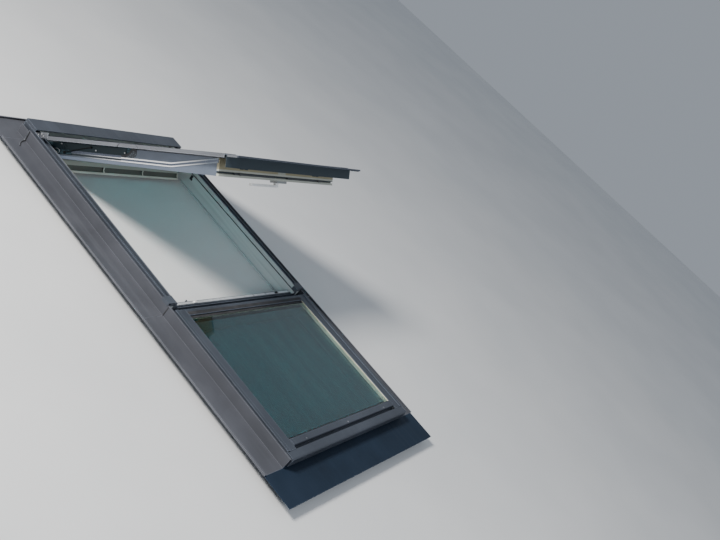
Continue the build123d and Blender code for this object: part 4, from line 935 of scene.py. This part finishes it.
class ROOFWINDOW_OT_foot_caps(bpy.types.Operator):
    """Closes the upper jambs' lower ends with dark moulded caps."""

    bl_idname = "roofwindow.foot_caps"
    bl_label = "Jamb Foot Caps"

    def execute(self, context):
        caps = bmesh.new()
        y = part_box("corner_caps")[0][1]
        for side in (-1, 1):
            x0, x1 = across(side, 0.5262, 0.5420)
            cuboid(caps, (x0, y - 0.004, 0.077), (x1, y + 0.030, 0.1262), 0.0035, 3)
            x2, x3 = across(side, 0.5255, 0.5345)
            cuboid(caps, (x2, y + 0.026, 0.1012), (x3, y + 0.052, 0.1035), 0.0008, 2)
        finish = bpy.data.materials["cap_moulding"]
        mesh_piece("jamb_foot_caps", caps, finish, "frame")
        return {"FINISHED"}


class ROOFWINDOW_OT_sill_bead(bpy.types.Operator):
    """Adds the bead along the upper sill's inner edge, near white as a painted highlight, and two dark rubber
    strips at the fixed light's head.
    """

    bl_idname = "roofwindow.sill_bead"
    bl_label = "Sill Bead"

    def execute(self, context):
        width = context.scene.roof_window_sizes.bead_width
        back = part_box("sill_cover")[1][1] - 0.0045
        bead = bmesh.new()
        low, high = (-0.5245, back - width, SILL_BEAD_Z), (0.5245, back, SILL_BEAD_Z + 0.0022)
        cuboid(bead, low, high, 0.0009, 3)
        # Near-white anodising: a painted highlight along the sill's bead.
        bright = lacquered_metal("bead_anodising", (0.6, 0.62, 0.65), 0.3, 0.3)
        mesh_piece("sill_bead", bead, bright, "frame")
        strips = bmesh.new()
        (_, edge_y, _), (reach, _, top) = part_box("lower_top_cover")
        low, high = (-reach, edge_y + 0.004, top - 0.0004), (reach, edge_y + 0.023, top + 0.0007)
        cuboid(strips, low, high, 0.0004, 3)
        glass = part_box("fixed_outer_pane")[1][2]
        low, high = (-reach, edge_y - 0.0165, glass), (reach, edge_y - 0.0012, glass + 0.0014)
        cuboid(strips, low, high, 0.0005, 3)
        mesh_piece("sill_gaskets", strips, bpy.data.materials["seal_rubber"], "frame")
        return {"FINISHED"}


class ROOFWINDOW_OT_bracket_screws(bpy.types.Operator):
    """Puts the hexagon-head screws in the fixing brackets."""

    bl_idname = "roofwindow.bracket_screws"
    bl_label = "Bracket Screws"

    def execute(self, context):
        flats = context.scene.roof_window_sizes.hex_flats
        face, level = 0.5725, 0.027
        heads = bmesh.new()
        for side in (-1, 1):
            for bracket in (-0.975, -0.355, -0.055, 1.045):
                for shift in (-0.013, 0.013):
                    seat = Vector((side * face, bracket + shift, level))
                    self.head(heads, seat, side, flats / math.sqrt(3))
        finish = bpy.data.materials["screw_steel"]
        mesh_piece("bracket_screw_heads", heads, finish, "frame")
        return {"FINISHED"}

    def head(self, sheet, seat, side, radius):
        """A hexagon head on its washer."""
        disc = bmesh.ops.create_cone(
            sheet, cap_ends=True, segments=6, radius1=radius, radius2=radius, depth=0.0035
        )["verts"]
        rims = list({edge for vert in disc for edge in vert.link_edges})
        cut = bmesh.ops.bevel(
            sheet, geom=rims, offset=0.0005, segments=2, profile=0.5, affect="EDGES", material=-1
        )
        made = list({vert for face in cut["faces"] for vert in face.verts})
        washer = bmesh.ops.create_cone(
            sheet, cap_ends=True, segments=24, radius1=radius * 1.45, radius2=radius * 1.35, depth=0.001
        )["verts"]
        bmesh.ops.translate(sheet, vec=(0, 0, 0.0022), verts=made)
        bmesh.ops.translate(sheet, vec=(0, 0, 0.0004), verts=washer)
        turn = Vector((0, 0, 1)).rotation_difference(Vector((side, 0, 0))).to_matrix()
        bmesh.ops.rotate(sheet, cent=(0, 0, 0), matrix=turn, verts=made + washer)
        bmesh.ops.translate(sheet, vec=seat, verts=made + washer)


class ROOFWINDOW_OT_flashing_hems(bpy.types.Operator):
    """Rolls the hems over the upper side flashings' ends, runs a dark bead beside each as its painted shadow,
    and seals the laps below them.
    """

    bl_idname = "roofwindow.flashing_hems"
    bl_label = "Flashing Hems"

    def execute(self, context):
        low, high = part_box("upper_flashings")
        end, top, flange = high[1], high[2], low[2] + 0.0015
        for name, lead, radius, finish in (
            ("flashing_hems", 0.0, 0.0021, "rail_anodising"),
            # A dark bead beside each hem: its painted shadow.
            ("flashing_hem_seals", 0.0062, 0.0024, "seal_rubber"),
        ):
            runs = []
            y, floor = end - 0.003 - lead, flange + radius * 0.6
            for side in (-1, 1):
                wall = side * (UPSTAND + radius * 0.6)
                run = (
                    (wall, y, top - radius),
                    (wall, y - 0.002, floor + 0.026),
                    (wall, y - 0.003, floor + 0.006),
                    (wall + side * 0.006, y - 0.005, floor),
                    (side * 0.615, y - 0.013, floor),
                    (side * 0.637, y - 0.029, floor),
                    (side * 0.652, y - 0.052, floor),
                )
                runs.append(run)
            wire(name, runs, radius, bpy.data.materials[finish], "frame")
        laps = bmesh.new()
        seam = (low[1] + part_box("lower_flashings")[1][1]) / 2
        for side in (-1, 1):
            x0, x1 = across(side, UPSTAND - 0.0002, UPSTAND + 0.0012)
            cuboid(laps, (x0, seam - 0.003, flange), (x1, seam + 0.0025, top - 0.004), 0.0005, 2)
        mesh_piece("flashing_laps", laps, bpy.data.materials["seal_rubber"], "frame")
        return {"FINISHED"}


class ROOFWINDOW_OT_hinge_caps(bpy.types.Operator):
    """Caps the hinges with light screwed plates beside the hood."""

    bl_idname = "roofwindow.hinge_caps"
    bl_label = "Hinge Caps"

    def execute(self, context):
        front, back = 1.064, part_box("hood")[0][1] - 0.001
        top = HINGE_CAP_Z + 0.003
        plates, heads = bmesh.new(), bmesh.new()
        for side in (-1, 1):
            for near, far in ((0.5340, 0.5735), (0.5220, 0.5328)):
                x0, x1 = across(side, near, far)
                cuboid(plates, (x0, front, HINGE_CAP_Z), (x1, back, top), 0.0009, 3)
            for x, y in ((0.5475, 1.074), (0.5640, 1.084)):
                dome(heads, Vector((side * x, y, top)), (0, 0, 1), 0.0042, 0.0022)
        finish = bpy.data.materials["rail_anodising"]
        mesh_piece("hinge_caps", plates, finish, "frame")
        steel = bpy.data.materials["screw_steel"]
        mesh_piece("hinge_cap_screws", heads, steel, "frame", True)
        return {"FINISHED"}


class ROOFWINDOW_OT_sill_catches(bpy.types.Operator):
    """Sets the two small catches on the sill's bead."""

    bl_idname = "roofwindow.sill_catches"
    bl_label = "Sill Catches"

    def execute(self, context):
        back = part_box("sill_cover")[1][1] - 0.006
        for name, x, finish in (
            ("sill_catch_left", -0.339, "handle_moulding"),
            ("sill_catch_right", 0.382, "seal_rubber"),
        ):
            catch = bmesh.new()
            foot = (x - 0.013, back - 0.012, CATCH_Z)
            cuboid(catch, foot, (x + 0.013, back, CATCH_Z + 0.0047), 0.0016, 3)
            stud = (x - 0.006, back - 0.009, CATCH_Z + 0.0042)
            cuboid(catch, stud, (x + 0.006, back - 0.003, CATCH_Z + 0.0087), 0.0018, 3)
            mesh_piece(name, catch, bpy.data.materials[finish], "frame")
        return {"FINISHED"}


class ROOFWINDOW_OT_jamb_hooks(bpy.types.Operator):
    """Adds the small dark hooks on the upper jambs' inner faces."""

    bl_idname = "roofwindow.jamb_hooks"
    bl_label = "Jamb Hooks"

    def execute(self, context):
        hooks = bmesh.new()
        for side in (-1, 1):
            x0, x1 = across(side, 0.5243, 0.5262)
            cuboid(hooks, (x0, 0.868, 0.066), (x1, 0.886, 0.098), 0.0006, 2)
            cuboid(hooks, (x0, 0.862, 0.066), (x1, 0.8685, 0.078), 0.0006, 2)
        mesh_piece("jamb_hooks", hooks, bpy.data.materials["seal_rubber"], "frame")
        return {"FINISHED"}


class ROOFWINDOW_OT_stage(bpy.types.Operator):
    """Sets the pale floor, the soft studio lights and the camera."""

    bl_idname = "roofwindow.stage"
    bl_label = "Stage"

    def execute(self, context):
        floor = bpy.data.meshes.new("studio_floor")
        sheet = bmesh.new()
        bmesh.ops.create_grid(sheet, x_segments=8, y_segments=8, size=14.0)
        bmesh.ops.translate(sheet, vec=(0, 0, CAD_BOX[0][2] - 0.001), verts=sheet.verts)
        sheet.to_mesh(floor)
        sheet.free()
        piece = placed("studio_floor", floor)
        material, tree, shader = new_finish("floor_paint")
        mottle = noise(tree, place(tree), 1.2, 3.0)
        pale = tones(tree, mottle, (0.3, (0.7, 0.71, 0.72)), (0.7, (0.76, 0.765, 0.77)))
        tree.links.new(pale, shader.inputs["Base Color"])
        shader.inputs["Roughness"].default_value = 0.8
        floor.materials.append(material)
        world = bpy.data.worlds.new("studio_world")
        world.use_nodes = True
        backdrop = world.node_tree.nodes["Background"]
        backdrop.inputs["Color"].default_value = (0.74, 0.82, 0.93, 1)
        backdrop.inputs["Strength"].default_value = 0.4
        context.scene.world = world
        self.light("key_light", (-4.6, 1.9, 4.6), 1.6, 640.0, (1.0, 0.97, 0.92))
        self.light("fill_light", (-2.2, -5.0, 3.2), 3.0, 90.0, (0.92, 0.96, 1.0))
        camera = bpy.data.cameras.new("photo_view")
        camera.lens = 43.1
        camera.sensor_width = 36.0
        camera.clip_end = 60.0
        view = placed("photo_view", camera)
        view.matrix_world = Matrix.Translation(CAMERA_PLACE) @ Matrix(CAMERA_AXES).transposed().to_4x4()
        context.scene.camera = view
        return {"FINISHED"}

    def light(self, name, spot, size, power, colour):
        """A round soft light that looks at the unit's middle."""
        lamp = bpy.data.lights.new(name, "AREA")
        lamp.shape = "DISK"
        lamp.size = size
        lamp.energy = power
        lamp.color = colour
        piece = placed(name, lamp)
        piece.location = spot
        piece.rotation_euler = (Vector((0, 0, 0.2)) - Vector(spot)).to_track_quat("-Z", "Y").to_euler()


class ROOFWINDOW_PT_sidebar(bpy.types.Panel):
    """Lists the roof window's finishes and fittings."""

    bl_label = "Roof Window"
    bl_idname = "ROOFWINDOW_PT_sidebar"
    bl_space_type = "VIEW_3D"
    bl_region_type = "UI"
    bl_category = "Roof Window"

    def draw(self, context):
        scene = context.scene
        for group in (scene.roof_window_sizes, scene.roof_window_finishes):
            for name in group.__annotations__:
                self.layout.prop(group, name)
        for step in STEPS:
            self.layout.operator(step.bl_idname)


STEPS = (
    ROOFWINDOW_OT_frame_timber,
    ROOFWINDOW_OT_sash_timber,
    ROOFWINDOW_OT_covers,
    ROOFWINDOW_OT_flashings,
    ROOFWINDOW_OT_glass,
    ROOFWINDOW_OT_seals,
    ROOFWINDOW_OT_ironmongery,
    ROOFWINDOW_OT_arm_screws,
    ROOFWINDOW_OT_rail_ends,
    ROOFWINDOW_OT_pivot_guards,
    ROOFWINDOW_OT_hinge_links,
    ROOFWINDOW_OT_flap_rims,
    ROOFWINDOW_OT_arm_flanges,
    ROOFWINDOW_OT_stile_beads,
    ROOFWINDOW_OT_skirt_clips,
    ROOFWINDOW_OT_foot_caps,
    ROOFWINDOW_OT_sill_bead,
    ROOFWINDOW_OT_bracket_screws,
    ROOFWINDOW_OT_flashing_hems,
    ROOFWINDOW_OT_hinge_caps,
    ROOFWINDOW_OT_sill_catches,
    ROOFWINDOW_OT_jamb_hooks,
    ROOFWINDOW_OT_stage,
)
CLASSES = (RoofWindowSizes, RoofWindowFinishes, *STEPS, ROOFWINDOW_PT_sidebar)


def register():
    """Registers the classes and joins the property groups to the scene."""
    for part in CLASSES:
        bpy.utils.register_class(part)
    bpy.types.Scene.roof_window_sizes = bpy.props.PointerProperty(type=RoofWindowSizes)
    bpy.types.Scene.roof_window_finishes = bpy.props.PointerProperty(type=RoofWindowFinishes)


def unregister():
    """Takes back what register has set up."""
    del bpy.types.Scene.roof_window_finishes
    del bpy.types.Scene.roof_window_sizes
    for part in reversed(CLASSES):
        bpy.utils.unregister_class(part)


def main():
    """Registers the add-on and makes everything in order."""
    register()
    for step in STEPS:
        group, name = step.bl_idname.split(".")
        getattr(getattr(bpy.ops, group), name)()


if __name__ == "__main__":
    main()
